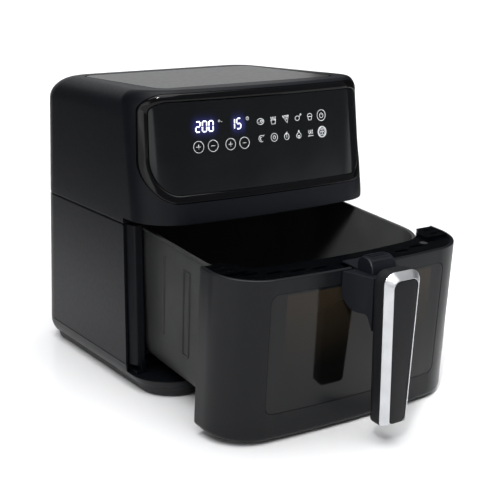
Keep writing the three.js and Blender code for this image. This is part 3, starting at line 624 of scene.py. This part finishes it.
# ---- housing ----
ROOF_LEVELS = [HEIGHT - EDGE_R + EDGE_R * sin(rad(90 * i / 20)) for i in range(21)]
PANEL_LEVELS = [180, FACE_BREAK, 200, 220, 240, 260] + ROOF_LEVELS[:-2]


def top_prism(inset, z0, z1):
    hw, y0, y1, r = PLATE["hw"], PLATE["y0"], PLATE["y1"], PLATE["r"]
    return plan_prism(hw - inset, y0 + inset, y1 - inset, r, z0, z1)


def hood_shell():
    low = SEAM_HIGH + GAP
    inside = [low, FACE_BREAK, 225, FALL_FROM] + [z for z in ROOF_LEVELS if z < 295] + [HEIGHT - 4]
    walls = [body_ring(z, WALL) for z in inside][::-1]
    edge = [body_ring(low, 1.4), body_ring(low + 0.4, 0.4), body_ring(low + 1.4, 0)]
    faces = [body_ring(z) for z in [FACE_BREAK, 190, 200, 215, 230, 250, FALL_FROM] + ROOF_LEVELS]
    panel_seat = common(band(PANEL_LEVELS, -3, 3.2), face_prism(panel_outline(-GAP), *PANEL_CUT))
    shell = cut(
        loft(walls + edge + faces),
        box(-FAR, FAR, -50, SIDE_FRONT, SEAM_HIGH - 5, HOOD_LIP),
        box(WALL - HALF_W, HALF_W - WALL, 0, 78, SEAM_HIGH - 5, HOOD_LIP),
        panel_seat,
        box(*BOARD_HOLE),
        top_prism(-PLATE_GROOVE, HEIGHT - 2.2, HEIGHT + 5),
        top_prism(PLATE_LEDGE, HEIGHT - 12, HEIGHT + 5),
        box(-VENT_HALF, VENT_HALF, 220, 290, VENT_LOW, VENT_TOP),
    )
    return fall_back(shell)


def panel_rim():
    """A sloping rim from the hood's surface in to the glass."""
    def at(inset, depth):
        return [(x, front_surface(x, z, depth), z) for x, z in panel_outline(inset)]

    slope = [at(0, 0.5), at(0.5, 0), at(1.2, 0), at(3.5, 0.3), at(6.4, 0.75), at(7.2, 1.3), at(RIM_W, 2.0)]
    return loft(slope + [at(RIM_W, 2.8), at(0, 2.8)], True)


def panel_glass():
    return common(band(PANEL_LEVELS, GLASS_DEPTH, 2.9), face_prism(panel_outline(RIM_W + GAP), *PANEL_CUT))


def side_shell():
    """The side walls and back, open at the front, with the walls' upper front corners rounded off."""
    levels = [
        (SEAM_LOW + GAP, 0), (90, 0), (SEAM_HIGH - 1.8, 0), (SEAM_HIGH - 0.9, 0.25), (SEAM_HIGH - 0.3, 0.8),
        (SEAM_HIGH, 1.6),
    ]
    outside = [body_ring(z, inset) for z, inset in levels]
    inside = [body_ring(z, 2.5) for z in (SEAM_HIGH, 90, SEAM_LOW + GAP)]
    r = SIDE_CORNER_R
    corner = cut(
        box(-FAR, FAR, SIDE_FRONT - 1, SIDE_FRONT + r, SEAM_HIGH - r, SEAM_HIGH + 2),
        rod_x(-FAR - 1, FAR + 1, SIDE_FRONT + r, SEAM_HIGH - r, r),
    )
    return cut(
        loft(outside + inside, True),
        box(-FAR, FAR, -50, SIDE_FRONT, 0, 200),
        corner,
        rod_y(CORD_X, 240, 290, CORD_Z, CORD_HOLE_R),
    )


def base_shell():
    """The tray under the appliance, with seats for the feet and brackets for the rollers' axles."""
    levels = [
        (2, 8.5, 6), (9.3, 6.5, 5), (10.2, 4, 4), (13, 2.2, 4), (16, 1, 4), (19, 0.1, 4),
        (SEAM_LOW - 0.6, 0, 4), (SEAM_LOW, 0.6, 4.4),
    ]
    outside = loft([base_ring(*level) for level in levels])
    well = common(
        loft([base_ring(z, 1.8, 6.1) for z in (SHELF_Z - 2.2, 40)]),
        box(-FAR, FAR, 0, FRAME_REAR + 0.3, 0, 50),
    )
    tray = cut(
        outside,
        box(-FAR, FAR, -50, SIDE_FRONT, SHELF_Z, 40),
        well,
        plan_prism(130, FRAME_REAR + 0.3, 264, 30, 7, 40),
        plan_prism(70, 22, 72, 8, 0, 12),
    )
    for x, y in FEET:
        cut(tray, post(x, y, 0, 5.4, FOOT_R + GAP))
    for x in (-ROLLER_X, ROLLER_X):
        for x0 in (x - 16, x + 9.4):
            join(tray, box(x0, x0 + 6.6, PIVOT_Y - 6, PIVOT_Y + 6, 6, 21))
        cut(tray, rod_x(x - 20, x + 20, PIVOT_Y, PIVOT_Z, 3.3))
    return tray


def frame_surround():
    """The black frame round the drawer's opening, with a shelf and a slanted pillar at each side."""
    shelf = common(
        loft([base_ring(z, 2.2, 6.5) for z in (SHELF_Z - 1.8, SHELF_Z)]),
        box(-FAR, FAR, 0, FRAME_REAR, 0, 30),
    )
    plate = box(-PILLAR_X, PILLAR_X, SIDE_FRONT + 1, FRAME_REAR, SHELF_Z - 1.8, FRAME_TOP)
    surround = join(plate, shelf)
    plan = [
        (COLLAR_X - COLLAR_T, 70), (PILLAR_X, 70), (PILLAR_X, 64), (PILLAR_X - 1, 61), (PILLAR_X - 4.4, 53.4),
        (COLLAR_X - COLLAR_T, 52),
    ]
    for side in (-1, 1):
        x = side * COLLAR_X
        pillar = rounded(loft([[(side * a, y, z) for a, y in plan] for z in (24, 169)]), 1.2, 4)
        join(surround, box(x - COLLAR_T, x + COLLAR_T, 52, 70, SHELF_Z - 0.5, 30), pillar)
    for x in (-127, 127):
        join(surround, box(x - 3.5, x + 3.5, 51, 70, SHELF_Z - 0.5, 19.2))
    cut(
        surround,
        box(-OPENING_HALF, OPENING_HALF, 40, 90, OPENING_LOW, OPENING_TOP),
        box(-OPENING_HALF, OPENING_HALF, 40, 63.5, SHELF_Z, 30),
    )
    for x in (-ROLLER_X, ROLLER_X):
        cut(surround, box(x - 6.4, x + 6.4, 60, 80, 20, 30))
    return surround


def vent_grille():
    plate = common(
        band([190, 215, 240, 270], 0.2, 2.4),
        box(GAP - VENT_HALF, VENT_HALF - GAP, 220, 290, VENT_LOW + GAP, VENT_TOP - GAP),
    )
    for i in range(7):
        low = VENT_LOW + 6 + 8 * i
        slot = face_outline(50, low, low + 4, (1.9, 1.9), (1.9, 1.9), 6, 1, 1)
        cut(plate, face_prism(slot, 200, 300))
    return plate


def cord_gland():
    """A stepped bush with a bore, its axis along Y."""
    profile = [
        (3.4, 262), (10.4, 262), (11, 262.6), (11, 264.4), (8, 265), (8, 271.4), (11, 271.9),
        (11, 273.4), (10.4, 274), (4.2, 274), (3.4, 273.2),
    ]
    turns = [2 * math.pi * i / 40 for i in range(40)]
    return loft([[(CORD_X + r * cos(a), y, CORD_Z + r * sin(a)) for r, y in profile] for a in turns], True)


FOOT_PROFILE = [(0.01, 0), (FOOT_R - 1.4, 0), (FOOT_R - 0.4, 0.5), (FOOT_R, 1.4), (FOOT_R, 5), (0.01, 5)]
on_housing(hood_shell(), "hood_shell", "matt_black", MATT_BLACK, "upper_housing", edge=0.3)
on_housing(fall_back(top_prism(0, HEIGHT - 1.9, HEIGHT)), "top_plate", "matt_black", ROOF_BLACK, "top_cover",
           edge=0.6, segments=3)
on_housing(panel_rim(), "panel_rim", "gloss_black", GLOSS_BLACK, "panel_bezel", edge=0)
on_housing(panel_glass(), "panel_glass", "touch_glass", TOUCH_GLASS, "control_panel", edge=0.2)
on_housing(side_shell(), "side_shell", "side_black", SIDE_BLACK, "lower_housing", edge=0.5)
on_housing(base_shell(), "base_shell", "side_black", BASE_BLACK, "base_tray", edge=0.4)
on_housing(frame_surround(), "frame_surround", "matt_black", MATT_BLACK, "front_frame", edge=0.6, segments=3)
on_housing(vent_grille(), "vent_grille", "matt_black", MATT_BLACK, "rear_vent_grille", edge=0.2)
on_housing(cord_gland(), "cord_bush", "rubber", RUBBER, "cord_gland", edge=0)
for corner, (x, y) in zip(("front_left", "front_right", "rear_left", "rear_right"), FEET):
    on_housing(turned(FOOT_PROFILE, x, y), f"pad_{corner}", "rubber", RUBBER, f"foot_{corner}", edge=0)


# ---- marks on the control panel ----
def stroke(points, width, closed=False):
    """The two edges of a line of that width along flat (x, z) points."""
    n, left, right = len(points), [], []
    for i, point in enumerate(points):
        before = points[i - 1] if i or closed else point
        after = points[(i + 1) % n] if i < n - 1 or closed else point
        one, two = Vector(point) - Vector(before), Vector(after) - Vector(point)
        one = one.normalized() if one.length else two.normalized()
        two = two.normalized() if two.length else one
        middle = (one + two).normalized() if (one + two).length > 1e-6 else one
        side = Vector((-middle.y, middle.x)) * (width / 2 / max(0.5, middle.dot(one)))
        left.append(tuple(Vector(point) + side))
        right.append(tuple(Vector(point) - side))
    return left, right


def marks(strokes, width, lift=0.08):
    """One mesh of raised lines that follow the panel's glass."""
    points, faces = [], []
    for line, closed in strokes:
        left, right = stroke(line, width, closed)
        first, n = len(points), len(line)
        for step in (-lift, 0.05):
            points += [(x, front_surface(x, z, GLASS_DEPTH) + step, z) for x, z in left + right]
        for i in range(n if closed else n - 1):
            j = (i + 1) % n
            a, b, c, d = first + i, first + j, first + n + j, first + n + i
            back = 2 * n
            faces += [(a, b, c, d), (d + back, c + back, b + back, a + back)]
            faces += [(b, a, a + back, b + back), (d, c, c + back, d + back)]
        if not closed:
            for a, b in ((first, first + n), (first + 2 * n - 1, first + n - 1)):
                faces.append((a, b, b + 2 * n, a + 2 * n))
    return solid(points, faces)


def around(x, z, r, start=0, sweep=360, squash=1.0, steps=28):
    """A circle or part of one; a whole one is returned as a closed line."""
    line = arc(x, z, r, r * squash, start, sweep, steps)
    return (line[:-1], True) if sweep == 360 else (line, False)


def line(*points):
    return (list(points), False)


def shape(x, z, *points):
    """A closed line through points given from (x, z)."""
    return ([(x + a, z + b) for a, b in points], True)


DIGIT_BARS = {"0": "abcdef", "1": "bc", "2": "abged", "5": "afgcd"}


def digit(character, x, z, width=4.5, height=9.6, lean=0.06):
    """Seven-segment bars with small breaks between them."""
    half, tall, short = width / 2, height / 2, 0.5
    w, h = half - short, tall - short
    bars = {
        "a": ((-w, tall), (w, tall)),
        "b": ((half, h), (half, short)),
        "c": ((half, -short), (half, -h)),
        "d": ((-w, -tall), (w, -tall)),
        "e": ((-half, -short), (-half, -h)),
        "f": ((-half, h), (-half, short)),
        "g": ((-w, 0), (w, 0)),
    }
    return [line(*((x + a + b * lean, z + b) for a, b in bars[k])) for k in DIGIT_BARS[character]]


def digits(text, x, z, pitch=6.9):
    return [bar for i, character in enumerate(text) for bar in digit(character, x + pitch * i, z)]


def minus(x, z):
    return [around(x, z, 5.4), line((x - 2.2, z), (x + 2.2, z))]


def plus(x, z):
    return minus(x, z) + [line((x, z - 2.4), (x, z + 2.4))]


def chips(x, z):
    sticks = [line((x + a, z - 0.4), (x + a * 1.5, z + 3.4)) for a in (-1.8, -0.6, 0.7, 1.9)]
    return [shape(x, z, (-2.8, 0.4), (2.8, 0.4), (2, -3.6), (-2, -3.6))] + sticks


def steak(x, z):
    bone = line((x - 2.6, z - 0.4), (x - 1.2, z - 1.4))
    return [around(x, z, 3.9, squash=0.72), around(x + 1, z + 0.2, 1.3, squash=0.8), bone]


def pizza(x, z):
    return [shape(x, z, (-3.8, 3), (3.4, 3.6), (1.6, -3.8)), line((x - 3, z + 1.8), (x + 3, z + 2.4)),
            around(x + 0.7, z + 0.4, 0.7, steps=10)]


def drumstick(x, z):
    return [around(x - 0.8, z - 0.4, 2.7, squash=0.8), line((x + 1.2, z + 0.8), (x + 3.2, z + 2.4)),
            around(x + 3.5, z + 2.9, 0.7, steps=10)]


def muffin(x, z):
    cup = shape(x, z, (-2.4, 0), (2.4, 0), (1.7, -3.4), (-1.7, -3.4))
    return [cup, around(x, z + 0.2, 3.1, 0, 180, 0.9, 14)]


def shrimp(x, z):
    return [around(x, z, 3.2, 40, 260, 0.95, 18), around(x - 0.2, z - 0.2, 1.4, 60, 220, 1, 12),
            line((x + 1.6, z + 2.4), (x + 3.4, z + 3.4))]


def ring_cake(x, z):
    return [around(x, z, 3.9), around(x, z, 1.5, steps=16)]


def bell_pepper(x, z):
    return [around(x, z - 0.6, 2.8, squash=1.1), line((x, z + 2.4), (x + 0.8, z + 4)),
            line((x, z + 1.6), (x, z - 2.2))]


def flame(x, z):
    edge = ((0, 4), (1.2, 1.8), (2.8, 0), (2.6, -2.4), (0, -3.9), (-2.6, -2.4), (-2.8, 0), (-1, 1.4))
    return [shape(x, z, *edge), around(x, z - 1.9, 1.0, steps=10)]


def keep_warm(x, z):
    waves = [[(x + a + 0.7 * sin(t * 1.6), z - 1 + t * 0.7) for t in range(7)] for a in (-2.2, 0, 2.2)]
    return [line((x - 3.6, z - 2.6), (x + 3.6, z - 2.6))] + [(wave, False) for wave in waves]


def power(x, z):
    return [around(x, z, 5.4), around(x, z - 0.2, 2.3, 125, 290, 1, 18), line((x, z + 0.4), (x, z + 2.8))]


def fan(x, z):
    turns = [rad(45 + 90 * i) for i in range(4)]
    blades = [around(x + 2 * cos(a), z + 2 * sin(a), 1.6, steps=12) for a in turns]
    return [around(x, z, 5.4), around(x, z, 4.7)] + blades


def degree_mark(x, z):
    return [around(x, z, 0.9, steps=12), line((x + 1.8, z - 0.9), (x + 3.4, z - 0.9))]


def clock_mark(x, z):
    return [around(x, z, 1.5, steps=14), line((x, z + 0.9), (x, z), (x + 0.7, z))]


def print_on_panel(name, strokes, width, material=MARKS):
    on_housing(marks(strokes, width), name, None, material, edge=0)


ROW_HIGH, ROW_LOW, ADJUST_Z, UNIT_Z = 265.5, 249, 246.8, 269.6
FIRST_ICON, ICON_PITCH = -9.8, 15.1
TEMPERATURE_X, TIMER_X, DEGREE_X, CLOCK_X = -78.8, -41.6, -56, -24.6
DIGIT_LINE, ADJUST_LINE, UNIT_LINE, ICON_LINE = 1.15, 0.5, 0.45, 0.55  # widths of the printed lines
ADJUST_KEYS = ((plus, -79.6), (minus, -64.2), (plus, -45.1), (minus, -29.6))
ICONS_HIGH = (steak, chips, pizza, drumstick, muffin, power)
ICONS_LOW = (shrimp, ring_cake, bell_pepper, flame, keep_warm, fan)

for name, text, x in (("temperature_digits", "200", TEMPERATURE_X), ("timer_digits", "15", TIMER_X)):
    print_on_panel(name, digits(text, x, ROW_HIGH), DIGIT_LINE, DIGITS)
print_on_panel("adjust_marks", [part for key, x in ADJUST_KEYS for part in key(x, ADJUST_Z)], ADJUST_LINE)
print_on_panel("unit_marks", degree_mark(DEGREE_X, UNIT_Z) + clock_mark(CLOCK_X, UNIT_Z), UNIT_LINE)
for row, icons, z in (("upper", ICONS_HIGH, ROW_HIGH), ("lower", ICONS_LOW, ROW_LOW)):
    for column, icon in enumerate(icons):
        strokes = icon(FIRST_ICON + ICON_PITCH * column, z)
        print_on_panel(f"icon_{row}_{icon.__name__}", strokes, ICON_LINE)


# ---- drawer front and pan ----
def drawer_shell():
    """The drawer's front wall, with its window, the notch for the handle's neck and two for the collars."""
    top = SHELL_TOP - SHELL_LOW
    foot = [(0, 3.5), (0.4, 2.2), (1.5, 1.1), (3, 0.35), (5, 0)]
    brow = [(60, 0), (120, 0), (top - 1.6, 0), (top - 0.6, 0.3), (top - 0.1, 1.1), (top, 1.8)]
    back = [(top, WALL), (3, WALL)]
    shell = cut(
        loft([body_ring(SHELL_LOW + z, inset) for z, inset in foot + brow + back]),
        box(-FAR, FAR, SIDE_FRONT - 0.5, 400, 0, 200),
        face_prism(inset_outline(WINDOW, 0), *WINDOW_CUT),
        box(-NECK_NOTCH, NECK_NOTCH, -20, 20, 163, 180),
    )
    for x in (-COLLAR_X, COLLAR_X):
        cut(shell, box(x - 3.6, x + 3.6, 50, 70, 10, 30))
    return shell


def window_pane():
    front = band([30, 60, 100, 140, 172], 0.3, 2.8)
    return common(front, face_prism(inset_outline(WINDOW, GAP), *WINDOW_CUT))


def drawer_ledge():
    """The ledge between the front wall and the pan, with slots, corner blocks and the magnet's seat."""
    def level(z0, z1):
        return loft([body_ring(z, WALL + GAP) for z in (z0, z1)])

    rear = SIDE_FRONT - 1.2
    ledge = common(level(LEDGE_LOW, LEDGE_TOP), box(-FAR, FAR, -10, rear, 150, 175))
    for x in (-BLOCK_X, BLOCK_X):
        block = common(level(LEDGE_TOP - 1, BLOCK_TOP), box(x - 14, x + 14, 36, rear, 160, 180))
        join(ledge, rounded(block, 0.7, 3))
    cut(
        ledge,
        loft([pan_ring(z, -2.6) for z in (160, 175)]),
        box(-NECK_NOTCH, NECK_NOTCH, -10, 20, 150, 180),
    )
    for x in (-126, 126):
        cut(ledge, box(x - 9, x + 9, 50.5, 70, 150, 169.8))
    slots = [(x, 14 + (x / 26) ** 2, 8, 4, 160) for x in (-104, -82, -60, -38, 38, 60, 82, 104)]
    dips = [(x, y, 6, 4.5, 172) for x in (-122, 122) for y in (41, 51)]
    for x, y, half, width, low in slots + dips:
        cut(ledge, rounded(box(x - half, x + half, y, y + width, low, 180), 1.6, 4, 60))
    return cut(ledge, post(MAGNET_X, MAGNET_Y, LEDGE_LOW + 0.9, 180, MAGNET_R + GAP))


# The pan's wall as (height, inset) pairs: outside, the lip counted down from the rim, and inside.
PAN_FOOT = [(0, 14), (0.8, 11), (3, 8), (5.4, 5.2), (9, 3), (14, 1.2), (22, 0), (60, 0), (100, 0)]
PAN_LIP = [(3.2, 0), (2.5, -0.5), (2.3, -1.4), (1.7, -2), (0.5, -2), (0, -1.4), (0, 0.8), (0.7, PAN_SHEET)]
PAN_INSIDE = [
    (100, PAN_SHEET), (60, PAN_SHEET), (23, PAN_SHEET), (15, 2.6), (10, 4.6), (6.4, 6.8), (4.4, 9.4),
    (2.2, 12.4), (1.6, 15),
]
PAN_BEADS = ((156.3, 70, 152), (109.6, 63, 149), (120, 63, 149))  # y, and the z range, of each upright bead
BEAD_ENDS = (63.8, 148.2)  # heights of the two level beads that close the last pair into a rectangle
BEAD_SINK = 0.3  # how deep the middle of a bead lies in the wall


def pan_side(z):
    """How far from the middle the beads of a side wall lie, at a height."""
    return PAN_HALF - PAN_LEAN * (PAN_RIM - z) - BEAD_SINK


def pan_bead(side, y, z0, z1):
    """A half-round bead pressed out of one side wall of the pan."""
    sections = [(z0, 0.3), (z0 + BEAD_R, BEAD_R), (z1 - BEAD_R, BEAD_R), (z1, 0.3)]
    return loft([[(side * pan_side(z) + r * dx, y + r * dy, z) for dx, dy in circle(1, 16)]
                 for z, r in sections])


def pan_bowl():
    sections = [(PAN_LOW + z, inset) for z, inset in PAN_FOOT]
    sections += [(PAN_RIM - z, inset) for z, inset in PAN_LIP]
    sections += [(PAN_LOW + z, inset) for z, inset in PAN_INSIDE]
    bowl = loft([pan_ring(z, inset) for z, inset in sections])
    cut(bowl, face_prism(inset_outline(PANE, 0), *PANE_CUT))
    for side in (-1, 1):
        for y, z0, z1 in PAN_BEADS:
            join(bowl, pan_bead(side, y, z0, z1))
        for z in BEAD_ENDS:
            join(bowl, rod_y(side * pan_side(z), PAN_BEADS[1][0], PAN_BEADS[2][0], z, BEAD_R - 0.1, 16))
    return bowl


def pan_pane():
    outside, inside = [pan_ring(z, 0.1) for z in (55, 155)], [pan_ring(z, 1.5) for z in (155, 55)]
    return common(loft(outside + inside, True), face_prism(inset_outline(PANE, GAP), *PANE_CUT))


def crisper_plate():
    """The tray in the pan, with a grid of holes and a tab in its middle to lift it by."""
    plate = loft([ring(z=z, **TRAY) for z in (42, 44)])
    for i in range(-2, 3):
        for j in range(-2, 3):
            if i or j:
                cut(plate, post(i * HOLE_PITCH_X, TRAY_MIDDLE + j * HOLE_PITCH_Y, 40, 46, HOLE_R, 28))
    tab = face_outline(13, 43, 66, (1, 1), (6, 6), 6, 1, 1)
    eye = face_outline(9, 52, 62, (3, 3), (4, 4), 6, 1, 1)
    tab = face_prism(tab, TRAY_MIDDLE - 1, TRAY_MIDDLE + 1)
    return join(plate, cut(tab, face_prism(eye, TRAY_MIDDLE - 4, TRAY_MIDDLE + 4)))


on_drawer(drawer_shell(), "drawer_shell", "matt_black", SHELL_BLACK, "drawer_front", edge=0.4)
on_drawer(window_pane(), "window_pane", "smoked_glass", WINDOW_GLASS, "window_glass", edge=0.35)
on_drawer(drawer_ledge(), "drawer_ledge", "matt_black", LEDGE_BLACK, "drawer_trim", edge=0.5, segments=3)
on_drawer(pan_bowl(), "pan_bowl", "pan_coat", PAN_COAT, "pan", edge=0.25)
on_drawer(pan_pane(), "pan_pane", "smoked_glass", WINDOW_GLASS, "pan_window", edge=0.2)
place(crisper_plate(), "crisper_plate", DRAWER, "tray", "pan_coat", PAN_COAT, "crisper_tray", edge=0.4)


# ---- handle ----
def side_slab(profile, half_width):
    """A (y, z) outline carried along X."""
    return loft([[(x, y, z) for y, z in profile] for x in (-half_width, half_width)])


def neck():
    """The handle's neck with its web, cut off along the back of the leaning grip."""
    profile = [
        (-0.4, 173), (-12, 174.4), (-26, 175), (-42, 175), (-42, 113.4), (-38.4, 120.2), (-34.9, 127),
        (-31.6, 133.6), (-29.4, 138.2), (-27.2, 140.2), (-24, 140), (-20.6, 139.4), (-16.4, 139.3),
        (-12, 140.6), (-8, 143), (-3.4, 148), (-0.4, 153.6),
    ]
    flare = [(-28.6, 5), (-28, -2), (-24, -17), (-20.6, -28), (-18.8, -36), (-18.8, -46)]
    flare += [(-x, y) for x, y in flare[::-1]]
    slab = common(side_slab(profile, 30), loft([[(x, y, z) for x, y in flare] for z in (110, 190)]))
    rounded(slab, 2.6, 5, 32)
    grip_back = side_slab([(-32.9, 178), (-35.5, 114), (-60, 114), (-60, 178)], 40)
    return cut(
        join(slab, box(-16, 16, -3, 18.5, 163.4, 167.5)),
        grip_back,
        box(-14.6, 14.6, -26, -2.2, 161.5, 180),
        box(-14.6, 14.6, -3, 1, 169.6, 180),
        post(0, -14, 152, 165, 6),
    )


def grip_outline(inset):
    """The handle's front outline, narrower at its lower end."""
    top, low = GRIP_TOP - inset, GRIP_LOW + inset * 0.4
    half_top, half_low, r, rl = GRIP_HALF_TOP - inset, GRIP_HALF_LOW - inset, 11 - inset * 0.6, 4
    outline = arc(half_low - rl, low + rl, rl, rl, -90, 90, 8)
    outline += arc(half_top - r, top - r, r, r, 0, 90, 16)
    outline += arc(r - half_top, top - r, r, r, 90, 90, 16)
    outline += arc(rl - half_low, low + rl, rl, rl, 180, 90, 8)
    return outline


def grip_loft(sections):
    return loft([[(x, y, z) for x, z in grip_outline(inset)] for y, inset in sections])


def grip_body():
    """The grip, its edges rounded towards the back."""
    return grip_loft([(-31.4, 1.6), (-31.8, 0.9), (-32.6, 0.4), (-34.2, 0.1), (-36.6, 0), (-44.4, 0)])


def grip_surround():
    """A silver frame that slopes in from the grip's sides, open in its middle and at its foot."""
    slope = [(-44.8, 0.3), (-45.2, 0), (-45.7, 0), (-46.2, 0.35), (-51, 5.4), (-51.4, 6.0), (-51.4, 6.2)]
    return cut(
        grip_loft(slope),
        grip_loft([(-40, 6.4), (-60, 6.4)]),
        box(-8.9, 8.9, -60, -40, 30, 60),
    )


def grip_inlay():
    return grip_loft([(-44.8, 6.8), (-50.4, 6.8), (-50.9, 7.1), (-51.1, 7.7)])


def thumb_button():
    """A hump with ribs across it, in front of the hood's face, and a low lid behind it."""
    profile = [
        (-2.8, 165.5), (-2.8, 176), (-3, 181), (-4.2, 184), (-7.5, 186.6), (-12, 187.5), (-16.4, 187.1),
        (-20, 185.2), (-23.4, 181), (-25, 176), (-25.4, 165.5),
    ]
    hump = rounded(side_slab(profile, BUTTON_HALF), 1.6, 4, 34)
    for i in range(5):
        y = RIB_FIRST + i * RIB_PITCH
        height = 187.4 - 0.045 * (y + 12) ** 2
        ridge = [(y + a, height + b) for a, b in ((-1.1, -2), (1.1, -2), (0.5, 1.0), (-0.5, 1.0))]
        join(hump, rounded(side_slab(ridge, RIB_HALF), 0.3, 2))
    lid = rounded(box(-BUTTON_HALF, BUTTON_HALF, -4, 17.5, 173, 174.8), 0.7, 3)
    return cut(join(hump, lid), box(-12, 12, -23, -5, 160, 170))


on_drawer(neck(), "neck", "matt_black", MATT_BLACK, "handle_bracket", edge=0.3)
on_drawer(grip_body(), "grip", "matt_black", GRIP_BLACK, "handle_grip", at=HANDLE, edge=0.3)
on_drawer(grip_surround(), "grip_surround", "silver", SILVER, "handle_trim", at=HANDLE, edge=0.25)
on_drawer(grip_inlay(), "grip_inlay", "matt_black", GRIP_BLACK, "handle_insert", at=HANDLE, edge=0)
place(thumb_button(), "thumb_button", DRAWER, "button", "matt_black", MATT_BLACK, "release_button", edge=0.2)

# ---- CAD pieces that stay, with rounded edges and finer materials ----
CAD_LOOKS = {
    "matt_black": MATT_BLACK, "side_black": SIDE_BLACK, "gloss_black": GLOSS_BLACK, "silver": SILVER,
    "touch_glass": TOUCH_GLASS, "smoked_glass": WINDOW_GLASS, "pan_coat": PAN_COAT, "steel": STEEL,
    "element": ELEMENT, "grey_plastic": GREY_PLASTIC, "rubber": RUBBER, "board": BOARD, "motor": MOTOR,
    "drawer_magnet": FERRITE,  # a node's own name goes before its slot
}


CAD_EDGE, CAD_WELD = 0.0003, 0.00001  # rounding and weld distance, in metres


def dress_cad_nodes():
    slots = {part["node"]: part["material_slot"] for part in frame["record"]["subparts"]}
    for name, obj in frame["nodes"].items():
        if obj.hide_render:
            continue
        obj.data.materials.clear()
        obj.data.materials.append(CAD_LOOKS.get(name) or CAD_LOOKS[slots[name]])
        for polygon in obj.data.polygons:
            polygon.use_smooth = True
        weld = obj.modifiers.new("weld", "WELD")
        weld.merge_threshold = CAD_WELD
        add_bevel(obj, CAD_EDGE, 2, 35)


dress_cad_nodes()


# ---- studio ----
SUN_POWER, SUN_SPREAD, SUN_TURN = 3.3, rad(70), (rad(14), rad(-8), 0)
SKY, SKY_POWER = (0.93, 0.96, 1.0, 1), 0.2
SOFTBOXES = (  # name, place, target, width, height and power, in metres and watts
    ("back_wall", (1.0, 2.6, 1.1), (0, 0, 0.2), 3.4, 1.6, 9),
    ("overhead", (0.1, 0.3, 1.9), (0, 0, 0.2), 1.6, 1.2, 10),
    ("left_low", (-1.9, -0.6, 0.5), (0, 0, 0.15), 1.2, 0.6, 4),
)
PAN_LIGHT_AT, PAN_LIGHT_TO, PAN_LIGHT_POWER = (-0.6, -0.75, 1.0), (0.12, -0.08, 0.13), 160


def add_lamp(name, kind, power):
    lamp = bpy.data.lights.new(name, kind)
    lamp.energy = power
    obj = bpy.data.objects.new(name, lamp)
    scene.collection.objects.link(obj)
    return obj


def aim(obj, at, target):
    obj.location = at
    obj.rotation_mode = "QUATERNION"
    obj.rotation_quaternion = (Vector(target) - Vector(at)).to_track_quat("-Z", "Y")


def sun():
    """A very wide sun, so that its shadows are soft."""
    key = add_lamp("key", "SUN", SUN_POWER)
    key.data.angle = SUN_SPREAD
    key.rotation_euler = SUN_TURN


def softbox(name, at, target, width, height, power):
    obj = add_lamp(name, "AREA", power)
    obj.data.shape = "RECTANGLE"
    obj.data.size = width
    obj.data.size_y = height
    obj.visible_camera = False
    aim(obj, at, target)


def pan_light():
    """A narrow soft lamp that reaches the inside of the open pan."""
    obj = add_lamp("pan_light", "SPOT", PAN_LIGHT_POWER)
    obj.data.spot_size = rad(18)
    obj.data.spot_blend = 1
    obj.data.shadow_soft_size = 0.12
    aim(obj, PAN_LIGHT_AT, PAN_LIGHT_TO)


def stage_piece(obj, name, material):
    """Turns a shape in millimetres into a piece of the studio, which isn't part of the object."""
    obj.name = name
    obj.data.transform(Matrix.Scale(0.001, 4))
    obj.data.materials.append(material)
    return obj


def dark_card(name, *sides):
    """A black studio card that only reflections see."""
    card = stage_piece(box(*sides), name, RUBBER)
    card.visible_camera = False
    card.visible_shadow = False
    card.visible_diffuse = False


def white_room():
    """A wide round white room that neither lights the object nor shows in it."""
    shader = Shader("white_room", (0.9, 0.9, 0.9), 0.9, specular=0)
    shader.emit((1, 1, 1, 1), 1)
    room = stage_piece(post(0, 0, -100, 9000, 12000, 64), "white_room", shader.material)
    room.visible_shadow = False
    room.visible_diffuse = False
    room.visible_glossy = False


def studio():
    world = bpy.data.worlds.new("studio")
    world.use_nodes = True
    background = world.node_tree.nodes["Background"]
    background.inputs["Color"].default_value = SKY
    background.inputs["Strength"].default_value = SKY_POWER
    scene.world = world
    sun()
    for settings in SOFTBOXES:
        softbox(*settings)
    pan_light()
    dark_card("left_card", -350, -345, 60, 1800, 2, 1500)
    dark_card("right_card", 600, 605, -150, 700, 60, 700)
    white_room()
    stage_piece(box(-40000, 40000, -40000, 40000, -20, 0), "floor", studio_floor())
    scene.view_settings.view_transform = "Standard"
    scene.view_settings.look = "None"
    scene.view_settings.exposure = 0
    scene.view_settings.gamma = 1


studio()
